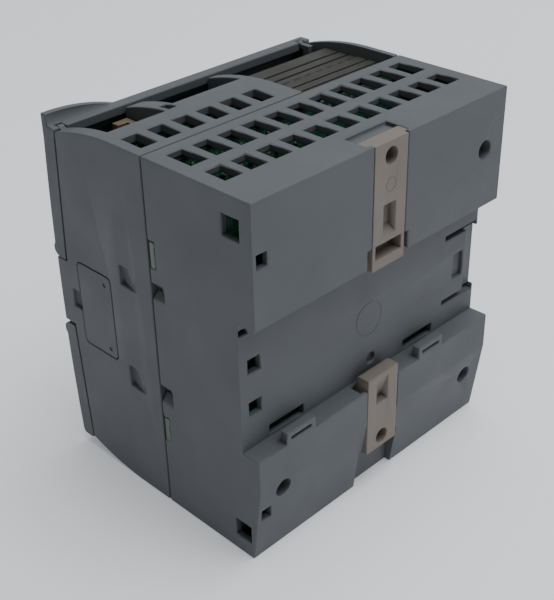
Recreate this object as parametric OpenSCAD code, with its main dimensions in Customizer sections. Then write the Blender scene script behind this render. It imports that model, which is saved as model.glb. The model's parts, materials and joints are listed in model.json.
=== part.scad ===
// Compact programmable controller module for a 35 mm mounting rail.
// Frame: origin at the middle of the bottom face, +X to the right seen from the front,
// +Y to the rear (rail side), +Z up. All sizes are in millimetres.

/* [Body] */
// Width across the side faces
body_w = 90; // [90:0.5:94]
// Depth from the door lips to the rear face
body_d = 75; // [74.5:0.5:78]
// Height of the module
body_h = 100; // [99.5:0.5:102]
// Thickness of the moulded walls
wall = 2; // [1.7:0.1:2.2]
// Width of the groove between the front and the rear housing
seam_gap = 0.4; // [0.3:0.05:0.5]
// Radius of the curve from the top face down to the doors
shoulder_r = 70; // [65:1:80]
// How far the lower rear edge tapers in at the bottom
foot_taper = 3; // [2:0.1:3.4]

/* [Rail channel] */
// Height of the channel that takes the 35 mm rail
channel_h = 36.3; // [36:0.1:36.6]
// Depth of the channel
channel_d = 5.6; // [5.4:0.1:5.8]
// Height of the channel's lower edge above the bottom
channel_z = 32.3; // [32:0.1:32.6]

/* [Rail clips] */
// Width of the visible face of a clip
clip_w = 11.8; // [11:0.1:12]
// Width of the hidden flanges that guide a clip
clip_flange_w = 14.6; // [14:0.1:14.8]
// Radius of the screw hole in each clip
clip_hole_r = 2.15; // [2:0.05:2.3]
// Height of the upper clip's hook end
upper_clip_z = 67.2; // [67:0.1:67.6]
// Height of the lower clip's lower end
lower_clip_z = 11.6; // [11:0.1:12]
// Height of the lower clip's hook
lower_hook_z = 35.4; // [35:0.1:35.8]

/* [Vents] */
// Distance between vent columns
vent_pitch = 7.62; // [7.4:0.01:7.8]
// Width of a vent in the rear housing
vent_w = 4.9; // [4.4:0.1:5.2]
// Vent columns across the rear housing
vent_columns = 11; // [7:2:11]
// Vent columns across the front housing
front_vent_columns = 6; // [3:1:6]

/* [Doors] */
// Thickness of a door's front plate
door_t = 1.8; // [1.6:0.1:2]
// Radius of the curved front surface
door_curve_r = 600; // [500:10:900]
// Radius of the lip at a door's free edge
lip_r = 2.2; // [2:0.1:2.4]
// Radius of a door's hinge pin
hinge_pin_r = 0.55; // [0.5:0.01:0.6]
// Running clearance between a hinge pin and its bore
hinge_clearance = 0.08; // [0.04:0.01:0.1]
// Radius of the raised finger ear on the upper door
ear_r = 56; // [54:1:60]

/* [Covers] */
// Height of the cover over each side connector
side_cover_h = 24.7; // [23:0.1:25]
// Depth of that cover, front to rear
side_cover_d = 13.9; // [13:0.1:14.2]
// Gap around a removable cover
cover_gap = 0.25; // [0.2:0.05:0.35]
// Width of the expansion cover in the front band
expansion_w = 38; // [34:1:38]
// Height of the expansion cover
expansion_h = 14; // [13:0.5:14]

/* [Terminals] */
// Distance between terminal poles
pole_pitch = 4.3; // [4.2:0.05:4.3]
// Poles of the upper and the lower input and output plug
io_poles = 8; // [6:1:8]
// Poles of the upper analogue plug
analogue_poles = 5; // [3:1:5]
// Radius of a terminal screw head
screw_head_r = 1.6; // [1.4:0.05:1.65]

/* [Boards] */
// Thickness of each circuit board
board_t = 1.6; // [1.5:0.1:1.7]
// Distance of each board's edge from the outside of the module, top and bottom
board_margin = 3.6; // [3.5:0.1:4]
// Indicator lamps on each side of the front band
lamp_columns = 4; // [2:1:4]

/* [Hidden] */

// Colours
shell_grey = [0.33, 0.36, 0.38];
clip_beige = [0.60, 0.56, 0.51];
board_green = [0.06, 0.22, 0.14];
terminal_grey = [0.25, 0.25, 0.25];
chip_black = [0.09, 0.09, 0.10];
steel = [0.66, 0.67, 0.68];
brass = [0.72, 0.60, 0.35];
socket_cream = [0.75, 0.70, 0.58];
clear_grey = [0.78, 0.82, 0.84];

// Small overlap that keeps cuts clean
eps = 0.02;
// Facets around small and large round features
fn_small = 32;
fn_large = 64;
// Steps along a long curved profile
curve_steps = 12;

// Main faces
half_w = body_w / 2;
rear_y = body_d / 2;
front_y = -body_d / 2;
in_x = half_w - wall;
seam_y = 2.3;
rear_front_y = seam_y + seam_gap / 2;
front_rear_y = seam_y - seam_gap / 2;

// Rail channel and rear blocks
channel_y = rear_y - channel_d;
channel_top = channel_z + channel_h;
taper_z = 22;

// Curved shoulders of the front housing
shoulder_y = -8;
side_edge_y = -30.45;
side_edge_low_y = -32.45;
band_z0 = 40.6;
band_z1 = 59.9;
band_y = front_y + 0.7;
mid_z = body_h / 2;

// Clip slots: a wide undercut behind a narrow mouth
slot_wide = clip_flange_w + 0.4;
slot_narrow = clip_w + 0.4;
slot_y = rear_y - 4.7;
slot_lip_y = rear_y - 1.3;
clip_y = slot_y + 0.2;
clip_flange_y = slot_lip_y - 0.1;
clip_top = body_h - 0.3;
upper_flange_z = 74;
upper_hole_z = 95.9;
lower_hole_z = 15;
guide_wall = 1.5;
guide_half_w = slot_wide / 2 + 1.8;
hook_r = 1.2;
hook_y = clip_y + 0.2;
// Width and depth of the pocket for a finger nail in the upper clip
finger_pocket = [4.5, 2.3];

// Vents: rows as [front, rear] in Y
rear_vent_rows = [[18.6, 25.5], [5.9, 14.5]];
front_vent_row = [-8.7, -1];
front_vent_w = 4.7;
front_vent_x0 = 1.3;

// Rear housing: raised tabs and blind holes for screws, as [low, high] in X and as [X, Z]
rail_tabs_x = [[25.4, 35.4], [-24.6, -14.6]];
rail_tab_rise = 3.2;
rail_tab_depth = 2.5;
pilot_holes = [[-37.3, 85], [-37.3, 15], [36.8, 20]];
pilot_r = 2.5;
pilot_y = 30.5;
// Square windows beside the rear corners, and the side windows near the top and bottom
corner_window_x = [40.4, 43.6];
corner_window_z = [83.85, 12.65];
corner_window_h = 3.5;
side_window_y = [28.3, 33.7];
side_window_z = [89.6, 4.6];
side_window_h = 5.3;
// Windows through the channel floor as [X low, X high, Z low, Z high]
floor_windows = [
    [38.2, 42.1, 53.6, 57.4], [38.2, 42.1, 41.6, 45.4], [41.9, 44.6, 64.9, 66.5],
    [23.9, 35.7, 32.6, 35.7], [-26.8, -14.6, 32.6, 35.7]
];
// End latch of the channel: two slits, a recess at the edge and a catch pocket
latch_slits_z = [39, 59];
latch_slit = [-44.6, -31, 1.4];
latch_recess = [-40.2, 40.4, 59, 1.4];
latch_pocket = [-39.3, -35, 45.7, 53.2, 1.2];
// Ejector marks on the channel floor: a shallow ring and a small blind hole
ring_z = 49.3;
ring_r = 5;
ring_w = 0.4;
mark_depth = 0.08;
floor_hole = [-1.3, 36.7];
floor_hole_r = 1.6;
// Power board ribs
board_rib = 1.6;
board_rib_z = [10, 70];
board_rib_h = 18;

// Bays behind the doors, as [low, high] in X
io_bay = [-in_x, -7.7];
analogue_bay = [-4.9, 18];
card_bay = [23.2, 41.1];
lower_io_bay = [6.4, 41.1];
network_bay = [-41.1, -22];
spare_bay = [-19.6, 3.6];
bay_back_y = -17.7;
card_back_y = -14.4;
cavity_front_y = -16.2;

// Doors
pivot_y = -31.9;
pivot_z = 96;
door_pin_bore_r = hinge_pin_r + hinge_clearance;
door_ledge_z = 97;
door_side_x = 43.1;
arm_x0 = 41.2;
arm_x1 = 42.9;
arm_r = 1;
arm_gap = 0.2;
knuckle_r = 0.9;
door_seam_y0 = -30.9;
door_seam_y1 = -32.9;
door_end_z = 60.2;
lip_y = front_y + lip_r;
lip_z = door_end_z + lip_r;
ear_x = 43;
ear_x0 = 15;
ear_y0 = -35.4;
ledge_half_w = 41;
ledge_t = 1.3;
ledge_lip_z = 94.3;
ledge_lip_t = 1.15;
door_corner_r = 1.4;
door_inset = 0.5;

// Side and front covers
side_cover_y = -21.25;
side_cover_z = 49.45;
cover_ledge = 1.5;
cover_seat_x = half_w - 1.3;
expansion_z = 50.2;

// Boards as front face positions in Y
logic_y = -13.6;
io_y = 3;
power_y = 26.4;
board_half_w = 42.6;
io_board_half_w = 41.4;
edge_tab_z = [[71.9, 78.9], [20.8, 28.1]];
seam_notch_z = [[62.5, 67.6], [32.1, 37.9]];
seam_notch_y = 6.9;
tongue_t = 1.2;
tongue_y = 5.5;
tab_gap = 0.1;

// Terminal plugs
plug_front_y = -29.5;
plug_step_y = -22.2;
plug_step_z = 89;
plug_bottom_z = 66;
plug_gap = 0.2;
io_header_y = -10;
io_top_z = 97.3;
header_front_y = -19.4;
chamber_w = 3.2;
chamber_y0 = -27.7;
chamber_y1 = -23.1;
chamber_z = 81.6;
terminal_screw_z = 84.8;
screw_shank_r = 0.95;
screw_bore_r = 1.85;

// Indicator lamps
lamp_x0 = 22.5;
lamp_pitch = 3;
lamp_rows = [47, 53];
lamp_w = 1.6;

// ---- helpers ----

// Box between two opposite corners
module block(lo, hi) {
    translate(lo) cube(hi - lo);
}

// Outline drawn in (Y, Z), carried along X
module along_x(x0, x1) {
    translate([x0, 0, 0]) rotate([90, 0, 90]) linear_extrude(x1 - x0) children();
}

// Outline drawn in (X, Z), carried along Y
module along_y(y0, y1) {
    translate([0, y1, 0]) rotate([90, 0, 0]) linear_extrude(y1 - y0) children();
}

// Cylinder along Y
module rod_y(x, z, y0, y1, r, fn = fn_small) {
    translate([x, y1, z]) rotate([90, 0, 0]) cylinder(r = r, h = y1 - y0, $fn = fn);
}

// Cylinder along X
module rod_x(y, z, x0, x1, r) {
    translate([x0, y, z]) rotate([0, 90, 0]) cylinder(r = r, h = x1 - x0, $fn = fn_small);
}

// The same shape again, turned over about mid height
module turned_over() {
    translate([0, 0, body_h]) mirror([0, 0, 1]) children();
}

// A shape and its twin on the other side face
module both_sides() {
    children();
    mirror([1, 0, 0]) children();
}

// Rectangle with rounded corners, built from squares and circles
module round_rect(w, h, r) {
    square([w - 2 * r, h], center = true);
    square([w, h - 2 * r], center = true);
    for (sx = [-1, 1], sy = [-1, 1])
        translate([sx * (w / 2 - r), sy * (h / 2 - r)]) circle(r = r, $fn = fn_small);
}

// Height of the front housing's shoulder curve at a given Y
function shoulder_z(y) = body_h - shoulder_r + sqrt(pow(shoulder_r, 2) - pow(y - shoulder_y, 2));

// Points of the shoulder curve from y0 to y1
function shoulder(y0, y1) =
    [for (i = [0:curve_steps]) let (y = y0 + (y1 - y0) * i / curve_steps) [y, shoulder_z(y)]];

// Front surface of the doors and band: a shallow arc about mid height
function curve_y(z, crown) = crown + pow(z - mid_z, 2) / (2 * door_curve_r);

// Points turned over about mid height, in reverse order
function over(points) =
    [for (i = [len(points) - 1:-1:0]) [points[i][0], body_h - points[i][1]]];

// ---- housings ----

// Outer side profile of the rear housing
module rear_profile() {
    polygon([
        [rear_front_y, 0], [rear_y - foot_taper, 0], [rear_y, taper_z], [rear_y, channel_z],
        [channel_y, channel_z], [channel_y, channel_top], [rear_y, channel_top],
        [rear_y, body_h], [rear_front_y, body_h]
    ]);
}

// The hollow inside it, one wall in from the outside
module rear_cavity_profile() {
    polygon([
        [rear_front_y - 1, wall], [rear_y - foot_taper - wall, wall], [rear_y - wall, taper_z],
        [rear_y - wall, channel_z - wall], [channel_y - wall, channel_z - wall],
        [channel_y - wall, channel_top + wall], [rear_y - wall, channel_top + wall],
        [rear_y - wall, body_h - wall], [rear_front_y - 1, body_h - wall]
    ]);
}

// Undercut slot for a rail clip between two heights
module clip_slot(z0, z1) {
    block([-slot_wide / 2, slot_y, z0], [slot_wide / 2, slot_lip_y, z1]);
    block([-slot_narrow / 2, slot_y + 1, z0], [slot_narrow / 2, rear_y + 1, z1]);
}

// Two rows of vents through the top of the rear housing
module rear_vents() {
    for (row = rear_vent_rows, i = [0:vent_columns - 1]) {
        x = (i - (vent_columns - 1) / 2) * vent_pitch;
        block([x - vent_w / 2, row[0], body_h - wall - 1], [x + vent_w / 2, row[1], body_h + 1]);
    }
}

// Raised guide tab on the channel's lower edge, with its slit
module rail_tab(x0, x1) {
    difference() {
        block([x0, rear_y - rail_tab_depth, channel_z - 1], [x1, rear_y, channel_z + rail_tab_rise]);
        block([x0 + 1.5, rear_y - 1.2, channel_z + 0.9], [x1 - 1.5, rear_y + 1, channel_z + 1.8]);
    }
}

// Opening at the seam whose outer wall ramps in from the lower end
module seam_notch(z0, z1) {
    ramp_z = z0 + 0.55 * (z1 - z0);
    translate([0, seam_notch_y, 0]) rotate([90, 0, 0]) linear_extrude(seam_notch_y - rear_front_y + 1)
        polygon([
            [half_w + 1, z0 - 0.7], [half_w + 1, z1], [in_x - 1, z1], [in_x - 1, ramp_z], [in_x, ramp_z]
        ]);
}

module rear_housing() {
    color(shell_grey) difference() {
        union() {
            difference() {
                along_x(-half_w, half_w) rear_profile();
                along_x(-in_x, in_x) rear_cavity_profile();
            }
            // solid walls that guide the two clips
            intersection() {
                along_x(-guide_half_w, guide_half_w) rear_profile();
                block([-half_w, slot_y - guide_wall, 0], [half_w, rear_y, body_h]);
            }
            // blind pilot bosses
            for (p = pilot_holes)
                rod_y(p[0], p[1], pilot_y - 1.2, rear_y - wall + eps, pilot_r + 1.4);
            for (t = rail_tabs_x) rail_tab(t[0], t[1]);
            // ribs that hold the power board
            both_sides() for (z = board_rib_z, y = [power_y - 1.1, power_y + board_t + 0.1])
                block([in_x - board_rib, y, z], [in_x + eps, y + 1, z + board_rib_h]);
        }
        rear_vents();
        turned_over() rear_vents();
        clip_slot(channel_top - 1, body_h + 1);
        clip_slot(-1, channel_z + 1);
        // open mouth of the upper slot, and the finger pocket above it
        block([-slot_wide / 2, slot_y, channel_top - 1], [slot_wide / 2, rear_y + 1, 73.6]);
        block([-slot_wide / 2, 29.3, body_h - 1.3], [slot_wide / 2, slot_y + eps, body_h + 1]);
        for (p = pilot_holes) rod_y(p[0], p[1], pilot_y, rear_y + 1, pilot_r);
        for (z = corner_window_z)
            block([corner_window_x[0], rear_y - wall - 2, z],
                  [corner_window_x[1], rear_y + 1, z + corner_window_h]);
        for (w = floor_windows)
            block([w[0], channel_y - wall - 1, w[2]], [w[1], channel_y + 1, w[3]]);
        // moulded end latch of the channel
        for (z = latch_slits_z)
            block([latch_slit[0], channel_y - wall - 1, z],
                  [latch_slit[1], channel_y + 1, z + latch_slit[2]]);
        block([-half_w - 1, channel_y - latch_recess[3], latch_recess[1]],
              [latch_recess[0], channel_y + 1, latch_recess[2]]);
        block([latch_pocket[0], channel_y - latch_pocket[4], latch_pocket[2]],
              [latch_pocket[1], channel_y + 1, latch_pocket[3]]);
        // ejector marks on the channel floor
        difference() {
            rod_y(0, ring_z, channel_y - mark_depth, channel_y + 1, ring_r, fn_large);
            rod_y(0, ring_z, channel_y - 1, channel_y + 2, ring_r - ring_w, fn_large);
        }
        rod_y(floor_hole[0], floor_hole[1], channel_y - 1, channel_y + 1, floor_hole_r);
        // side windows, seam notches and notches for the board's edge tabs
        both_sides() {
            for (z = side_window_z)
                block([in_x - 1, side_window_y[0], z], [half_w + 1, side_window_y[1], z + side_window_h]);
            for (z = seam_notch_z) seam_notch(z[0], z[1]);
            for (z = edge_tab_z)
                block([in_x - 1, rear_front_y - 1, z[0] - tab_gap],
                      [half_w + 1, io_y + board_t + tab_gap, z[1] + tab_gap]);
        }
    }
}

// Outer side profile of the front housing
module front_profile() {
    top = concat([[side_edge_low_y, band_z1]], shoulder(side_edge_y, shoulder_y), [[front_rear_y, body_h]]);
    low = [side_edge_low_y, band_z0];
    band = [
        for (i = [0:4]) let (z = band_z0 + (band_z1 - band_z0) * i / 4) [curve_y(z, band_y), z]
    ];
    bottom = over(concat(shoulder(side_edge_y, shoulder_y), [[front_rear_y, body_h]]));
    polygon(concat(bottom, [low], band, top));
}

// Hinge arm that carries a door pin, with its bore
module hinge_arm() {
    difference() {
        union() {
            rod_x(pivot_y, pivot_z, arm_x0, arm_x1, arm_r);
            block([arm_x0, pivot_y, pivot_z - arm_r], [arm_x1, side_edge_y + 2, pivot_z + 0.4]);
            // root that joins the arm to the side wall
            block([arm_x0, side_edge_y + 0.6, pivot_z - 4], [in_x + eps, side_edge_y + 3, pivot_z + 0.4]);
        }
        rod_x(pivot_y, pivot_z, arm_x0 - 1, arm_x1 + 1, door_pin_bore_r);
    }
}

// Tongue that fits inside the rear housing behind the seam
module seam_tongue() {
    t_x = in_x - 0.2;
    t_z = body_h - wall - 0.2;
    difference() {
        union() {
            block([-t_x, front_rear_y - 1.5, wall + 0.2], [t_x, tongue_y, t_z]);
            // snap hooks that catch in the rear end of the seam notches
            both_sides() for (z = seam_notch_z)
                block([t_x - tongue_t, tongue_y - 0.4, z[1] - 2.1], [in_x + 0.9, tongue_y + 0.9, z[1] - 0.3]);
        }
        block([-t_x + tongue_t, front_rear_y - 2, wall + 1.4],
              [t_x - tongue_t, tongue_y + 1.5, t_z - tongue_t]);
        both_sides() {
            for (z = edge_tab_z)
                block([t_x - 2, io_y - 0.6, z[0] - 0.2], [in_x + 1, tongue_y + 1.5, z[1] + 0.2]);
            // room for the board's ears behind the seam notches
            for (z = seam_notch_z)
                block([t_x - 2, io_y - tab_gap, z[0] - 0.2],
                      [in_x + 1, io_y + board_t + tab_gap, z[1] + 0.2]);
        }
        // left open over the terminal bay
        block([io_bay[0] - 1, front_rear_y - 2, band_z1 + 30], [io_bay[1] + 1, tongue_y + 1.5, body_h]);
    }
}

// Seat for a side cover: a shallow recess around a smaller hole
module side_cover_seat() {
    translate([0, side_cover_y, side_cover_z]) {
        along_x(cover_seat_x, half_w + 1) round_rect(side_cover_d, side_cover_h, 1.5);
        along_x(in_x - 1, half_w + 1)
            square([side_cover_d - 2 * cover_ledge, side_cover_h - 2 * cover_ledge], center = true);
    }
    // pry notch in front of the cover
    block([half_w - 1, -31.4, 46.8], [half_w + 1, side_cover_y - side_cover_d / 2 + eps, 52.1]);
}

// Recess whose floor rises towards the rear
module latch_ramp(z0, z1) {
    translate([0, 0, z0]) linear_extrude(z1 - z0)
        polygon([[half_w + 1, -10], [half_w - 1.5, -10], [half_w + 0.05, -3.3], [half_w + 1, -3.3]]);
}

module front_vents() {
    for (i = [0:front_vent_columns - 1]) {
        x = front_vent_x0 + i * vent_pitch;
        block([x - front_vent_w / 2, front_vent_row[0], body_h - wall - 2],
              [x + front_vent_w / 2, front_vent_row[1], body_h + 1]);
    }
}

module front_housing() {
    color(shell_grey) difference() {
        union() {
            difference() {
                along_x(-half_w, half_w) front_profile();
                // space for the boards below and beside the terminal bay
                block([-in_x, cavity_front_y, wall + 0.5], [in_x, front_rear_y + 1, band_z1 - wall]);
                block([analogue_bay[0], cavity_front_y, band_z1 - wall - 1],
                      [in_x, front_rear_y + 1, body_h - wall - 0.5]);
                // hollow front band
                block([-in_x, band_y + wall, band_z0 + wall],
                      [in_x, cavity_front_y + 1, band_z1 - wall]);
                // bays behind the upper door
                block([io_bay[0], front_y - 1, band_z1], [io_bay[1], front_rear_y + 1, body_h + 1]);
                block([analogue_bay[0], front_y - 1, band_z1], [analogue_bay[1], bay_back_y, body_h + 1]);
                block([card_bay[0], front_y - 1, band_z1], [card_bay[1], card_back_y, body_h + 1]);
                // bays behind the lower door
                block([lower_io_bay[0], front_y - 1, -1], [lower_io_bay[1], bay_back_y, band_z0]);
                block([network_bay[0], front_y - 1, -1], [network_bay[1], card_back_y, band_z0]);
                block([spare_bay[0], front_y - 1, 6], [spare_bay[1], bay_back_y, band_z0]);
            }
            both_sides() {
                hinge_arm();
                turned_over() hinge_arm();
            }
            seam_tongue();
            // ribs that hold the logic board
            for (x = [-in_x - eps, in_x - 1.4], y = [logic_y - 1.1, logic_y + board_t + 0.1])
                block([x, y, 14], [x + 1.4 + eps, y + 1, 32]);
        }
        front_vents();
        turned_over() front_vents();
        // header openings in the back walls of two bays
        block([-3.6, bay_back_y - 1, 68], [16.8, cavity_front_y + 1, 92]);
        block([lower_io_bay[0] + 0.4, bay_back_y - 1, 8], [lower_io_bay[1] - 0.4, cavity_front_y + 1, 32]);
        // pocket in the double rib between two bays
        block([19.2, -19, body_h - 2], [21.8, -14.8, body_h + 1]);
        both_sides() {
            side_cover_seat();
            for (z = seam_notch_z) latch_ramp(z[0] - 0.5, z[1]);
        }
        // opening for the expansion cover, and the lamp windows
        block([-expansion_w / 2, band_y - 1, expansion_z - expansion_h / 2],
              [expansion_w / 2, band_y + wall + 1, expansion_z + expansion_h / 2]);
        lamp_grid() block([-lamp_w / 2 - 0.05, band_y - 1, -lamp_w / 2 - 0.05],
                          [lamp_w / 2 + 0.05, band_y + wall + 1, lamp_w / 2 + 0.05]);
    }
}

// ---- doors ----

// Height of the door's top edge below the corner's rounding
door_corner_z = door_ledge_z - door_corner_r;

// Points down the door's curved outer face
function door_face() = [
    for (i = [0:curve_steps]) let (z = lip_z + (door_corner_z - lip_z) * i / curve_steps)
        [curve_y(z, front_y + door_inset), z]
];

// Depth of the middle of the rounded upper corner
door_corner_y = curve_y(door_corner_z, front_y + door_inset) + door_corner_r;

// Rounded lip at the free edge and rounded corner under the top ledge
module door_rounds() {
    translate([lip_y, lip_z]) circle(r = lip_r, $fn = fn_small);
    translate([door_corner_y, door_corner_z]) circle(r = door_corner_r, $fn = fn_small);
}

// Section of a door between its sides: curved plate, top ledge with a turned-down edge, and lip
module door_section() {
    outer = door_face();
    polygon(concat(outer, [for (i = [curve_steps:-1:0]) outer[i] + [door_t, 0]]));
    door_rounds();
    translate([door_corner_y, door_ledge_z - ledge_t]) square([door_seam_y0 - door_corner_y, ledge_t]);
    translate([door_seam_y0 - ledge_lip_t, ledge_lip_z]) square([ledge_lip_t, door_ledge_z - ledge_lip_z]);
}

// Solid side flange of a door, from the curved front back to the seam
module door_flange_section() {
    polygon(concat(door_face(), [
        [door_seam_y0 - 1, door_ledge_z], [door_seam_y0, pivot_z - 0.5], [door_seam_y1, door_end_z],
        [lip_y, door_end_z]
    ]));
    door_rounds();
    translate([pivot_y, pivot_z]) circle(r = knuckle_r, $fn = fn_small);
}

// One door without its pins; the ledge leaves room for the housing's hinge arms
module door_body() {
    difference() {
        union() {
            along_x(-half_w, half_w) intersection() {
                door_section();
                translate([front_y - 1, door_end_z]) square([8, 40]);
            }
            both_sides() along_x(door_side_x, half_w) door_flange_section();
            children();
        }
        both_sides()
            block([ledge_half_w, pivot_y - arm_r - arm_gap, pivot_z - 3],
                  [door_side_x, pivot_y + 3, pivot_z + 3]);
    }
}

module door_pins() {
    both_sides() rod_x(pivot_y, pivot_z, arm_x0 - 0.1, door_side_x + eps, hinge_pin_r);
}

module upper_door() {
    color(shell_grey) {
        door_body()
            // raised ear at one end, a larger disc cut off by the door's side
            along_y(ear_y0, ear_y0 + door_t) intersection() {
                translate([ear_x, body_h - ear_r]) circle(r = ear_r, $fn = 120);
                translate([ear_x0, 92]) square([half_w - ear_x0, 9]);
            }
        door_pins();
    }
}

module lower_door() {
    color(shell_grey) turned_over() {
        door_body();
        door_pins();
    }
}

// ---- rail clips ----

// Shallow pocket whose floor rises to the rear face at its low end
module ramp_pocket(x0, x1, z_shallow, z_deep, depth) {
    along_x(x0, x1) polygon([
        [rear_y + 0.05, z_shallow], [rear_y - depth, z_deep], [rear_y + 1, z_deep], [rear_y + 1, z_shallow]
    ]);
}

module upper_rail_clip() {
    color(clip_beige) difference() {
        union() {
            block([-clip_w / 2, clip_y, upper_clip_z], [clip_w / 2, rear_y, clip_top]);
            block([-clip_flange_w / 2, clip_y, upper_flange_z], [clip_flange_w / 2, clip_flange_y, clip_top]);
        }
        rod_y(0, upper_hole_z, clip_y - 1, rear_y + 1, clip_hole_r);
        block([-finger_pocket[0] / 2, rear_y - finger_pocket[1], 77.2],
              [finger_pocket[0] / 2, rear_y + 1, 83.8]);
        ramp_pocket(-finger_pocket[0] / 2, finger_pocket[0] / 2, 75.6, 77.2 + eps, finger_pocket[1]);
        // window for a screwdriver's tip
        block([-4.75, rear_y - 3.6, 70], [4.75, rear_y + 1, 73.8]);
        // ejector mark
        difference() {
            rod_y(0, 88.7, rear_y - mark_depth, rear_y + 1, 1.9);
            rod_y(0, 88.7, rear_y - 1, rear_y + 2, 1.6);
        }
    }
}

module lower_rail_clip() {
    color(clip_beige) difference() {
        union() {
            block([-clip_w / 2, clip_y, lower_clip_z], [clip_w / 2, rear_y, channel_z - 0.1]);
            block([-clip_flange_w / 2, clip_y, lower_clip_z + 4],
                  [clip_flange_w / 2, clip_flange_y, channel_z - 3]);
            // hook with a rounded front edge
            along_x(-clip_w / 2, clip_w / 2) {
                translate([hook_y, channel_z - 0.2])
                    square([rear_y - hook_y, lower_hook_z - hook_r - channel_z + 0.2]);
                translate([hook_y + hook_r, lower_hook_z - hook_r - eps])
                    square([rear_y - hook_y - hook_r, hook_r + eps]);
                translate([hook_y + hook_r, lower_hook_z - hook_r]) circle(r = hook_r, $fn = fn_small);
            }
        }
        rod_y(0, lower_hole_z, clip_y - 1, rear_y + 1, clip_hole_r);
        ramp_pocket(-2, 2.5, 34.1, 26.4, 2.6);
    }
}

// ---- removable covers ----

// Cover over a side connector, with two snap legs
module side_cover() {
    w = side_cover_d - 2 * cover_gap;
    h = side_cover_h - 2 * cover_gap;
    leg_y = side_cover_d / 2 - cover_ledge - 1.3;
    difference() {
        translate([0, side_cover_y, side_cover_z]) {
            along_x(cover_seat_x + 0.05, half_w) round_rect(w, h, 1.3);
            for (s = [-1, 1]) translate([0, s * leg_y, 0])
                block([42.3, -0.5, -4], [cover_seat_x + 0.1, 0.5, 4]);
        }
        for (z = [58.9, 39.6]) rod_x(-17.1, z, half_w - 0.3, half_w + 1, 0.6);
    }
}

module bus_cover() {
    color(shell_grey) side_cover();
}

module side_port_cover() {
    color(shell_grey) mirror([1, 0, 0]) side_cover();
}

module expansion_cover() {
    w = expansion_w - 2 * cover_gap;
    h = expansion_h - 2 * cover_gap;
    color(shell_grey) {
        along_y(band_y, band_y + 1.6) translate([0, expansion_z]) round_rect(w, h, 0.8);
        // snap legs
        both_sides()
            block([w / 2 - 1.8, band_y + 1.6 - eps, expansion_z - 4],
                  [w / 2 - 0.6, band_y + 5, expansion_z + 4]);
    }
}

// ---- circuit boards ----

module power_board() {
    color(board_green)
        block([-board_half_w, power_y, board_margin],
              [board_half_w, power_y + board_t, body_h - board_margin]);
}

// Board clamped in the seam; its edge tabs reach the side faces
module io_board() {
    color(board_green) {
        block([-io_board_half_w, io_y, board_margin],
              [io_board_half_w, io_y + board_t, body_h - board_margin]);
        both_sides() {
            for (z = edge_tab_z) block([io_board_half_w - eps, io_y, z[0]], [half_w, io_y + board_t, z[1]]);
            // ears that show in the seam notches
            for (z = seam_notch_z)
                block([io_board_half_w - eps, io_y, z[0]], [in_x - 0.1, io_y + board_t, z[1]]);
        }
    }
}

// Board behind the bays, cut away for the terminal bay
module logic_board() {
    color(board_green) {
        block([-board_half_w + 0.2, logic_y, board_margin],
              [board_half_w - 0.2, logic_y + board_t, band_z1 - wall - 0.4]);
        block([analogue_bay[0] + 0.4, logic_y, band_z1 - wall - 1],
              [board_half_w - 0.2, logic_y + board_t, body_h - board_margin]);
    }
}

// Board to board connector: two shrouds and a row of pins
module stack_connector(x0, x1, y0, y1, z0, z1) {
    mid = (y0 + y1) / 2;
    color(chip_black) {
        block([x0, y0, z0], [x1, mid - 1, z1]);
        block([x0 + 0.8, mid - 1.2, z0 + 0.8], [x1 - 0.8, y1, z1 - 0.8]);
    }
}

module rear_stack_connector() {
    stack_connector(12, 34, io_y + board_t + 0.05, power_y - 0.05, 30, 35);
}

module front_stack_connector() {
    stack_connector(-32, -12, logic_y + board_t + 0.05, io_y - 0.05, 44, 49);
}

// ---- terminals ----

// X of the middle of pole i in a row that starts at x0
function pole_x(x0, i) = x0 + pole_pitch * (i + 0.5);

// Removable plug: stepped block with a wire chamber and a screw bore for each pole
module terminal_plug(x0, poles, y1, top_z) {
    w = poles * pole_pitch;
    difference() {
        union() {
            block([x0, plug_front_y, plug_bottom_z], [x0 + w, y1, plug_step_z]);
            if (top_z > plug_step_z)
                block([x0, plug_step_y, plug_step_z - 1], [x0 + w, y1, top_z]);
        }
        for (i = [0:poles - 1]) {
            x = pole_x(x0, i);
            block([x - chamber_w / 2, chamber_y0, chamber_z],
                  [x + chamber_w / 2, chamber_y1, plug_step_z + 1]);
            rod_y(x, terminal_screw_z, plug_front_y - 1, chamber_y0 + eps, screw_bore_r);
            // test slot beside each screw
            block([x - 0.5, plug_front_y - 1, 72], [x + 0.5, plug_front_y + 1.5, 76]);
        }
        if (top_z > plug_step_z) {
            // long grooves across the top, and a scallop at each pole
            for (y = [-14, -17.6]) block([x0 - 1, y, top_z - 0.5], [x0 + w + 1, y + 0.7, top_z + 1]);
            for (i = [0:poles - 1])
                block([pole_x(x0, i) - 1.1, y1 - 0.9, top_z - 1.2], [pole_x(x0, i) + 1.1, y1 + 1, top_z + 1]);
        }
    }
}

// Metal cage that the screw closes on the wire
module clamp_cages(x0, poles) {
    for (i = [0:poles - 1]) {
        x = pole_x(x0, i);
        difference() {
            block([x - 1.5, chamber_y0 + 0.1, chamber_z + 0.1], [x + 1.5, chamber_y1 - 0.1, plug_step_z - 2]);
            block([x - 1.1, chamber_y0 + 1, chamber_z - 1], [x + 1.1, chamber_y1 - 0.6, plug_step_z]);
            rod_y(x, terminal_screw_z, chamber_y0 - 1, chamber_y0 + 2, screw_shank_r + 0.05);
        }
    }
}

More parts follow.
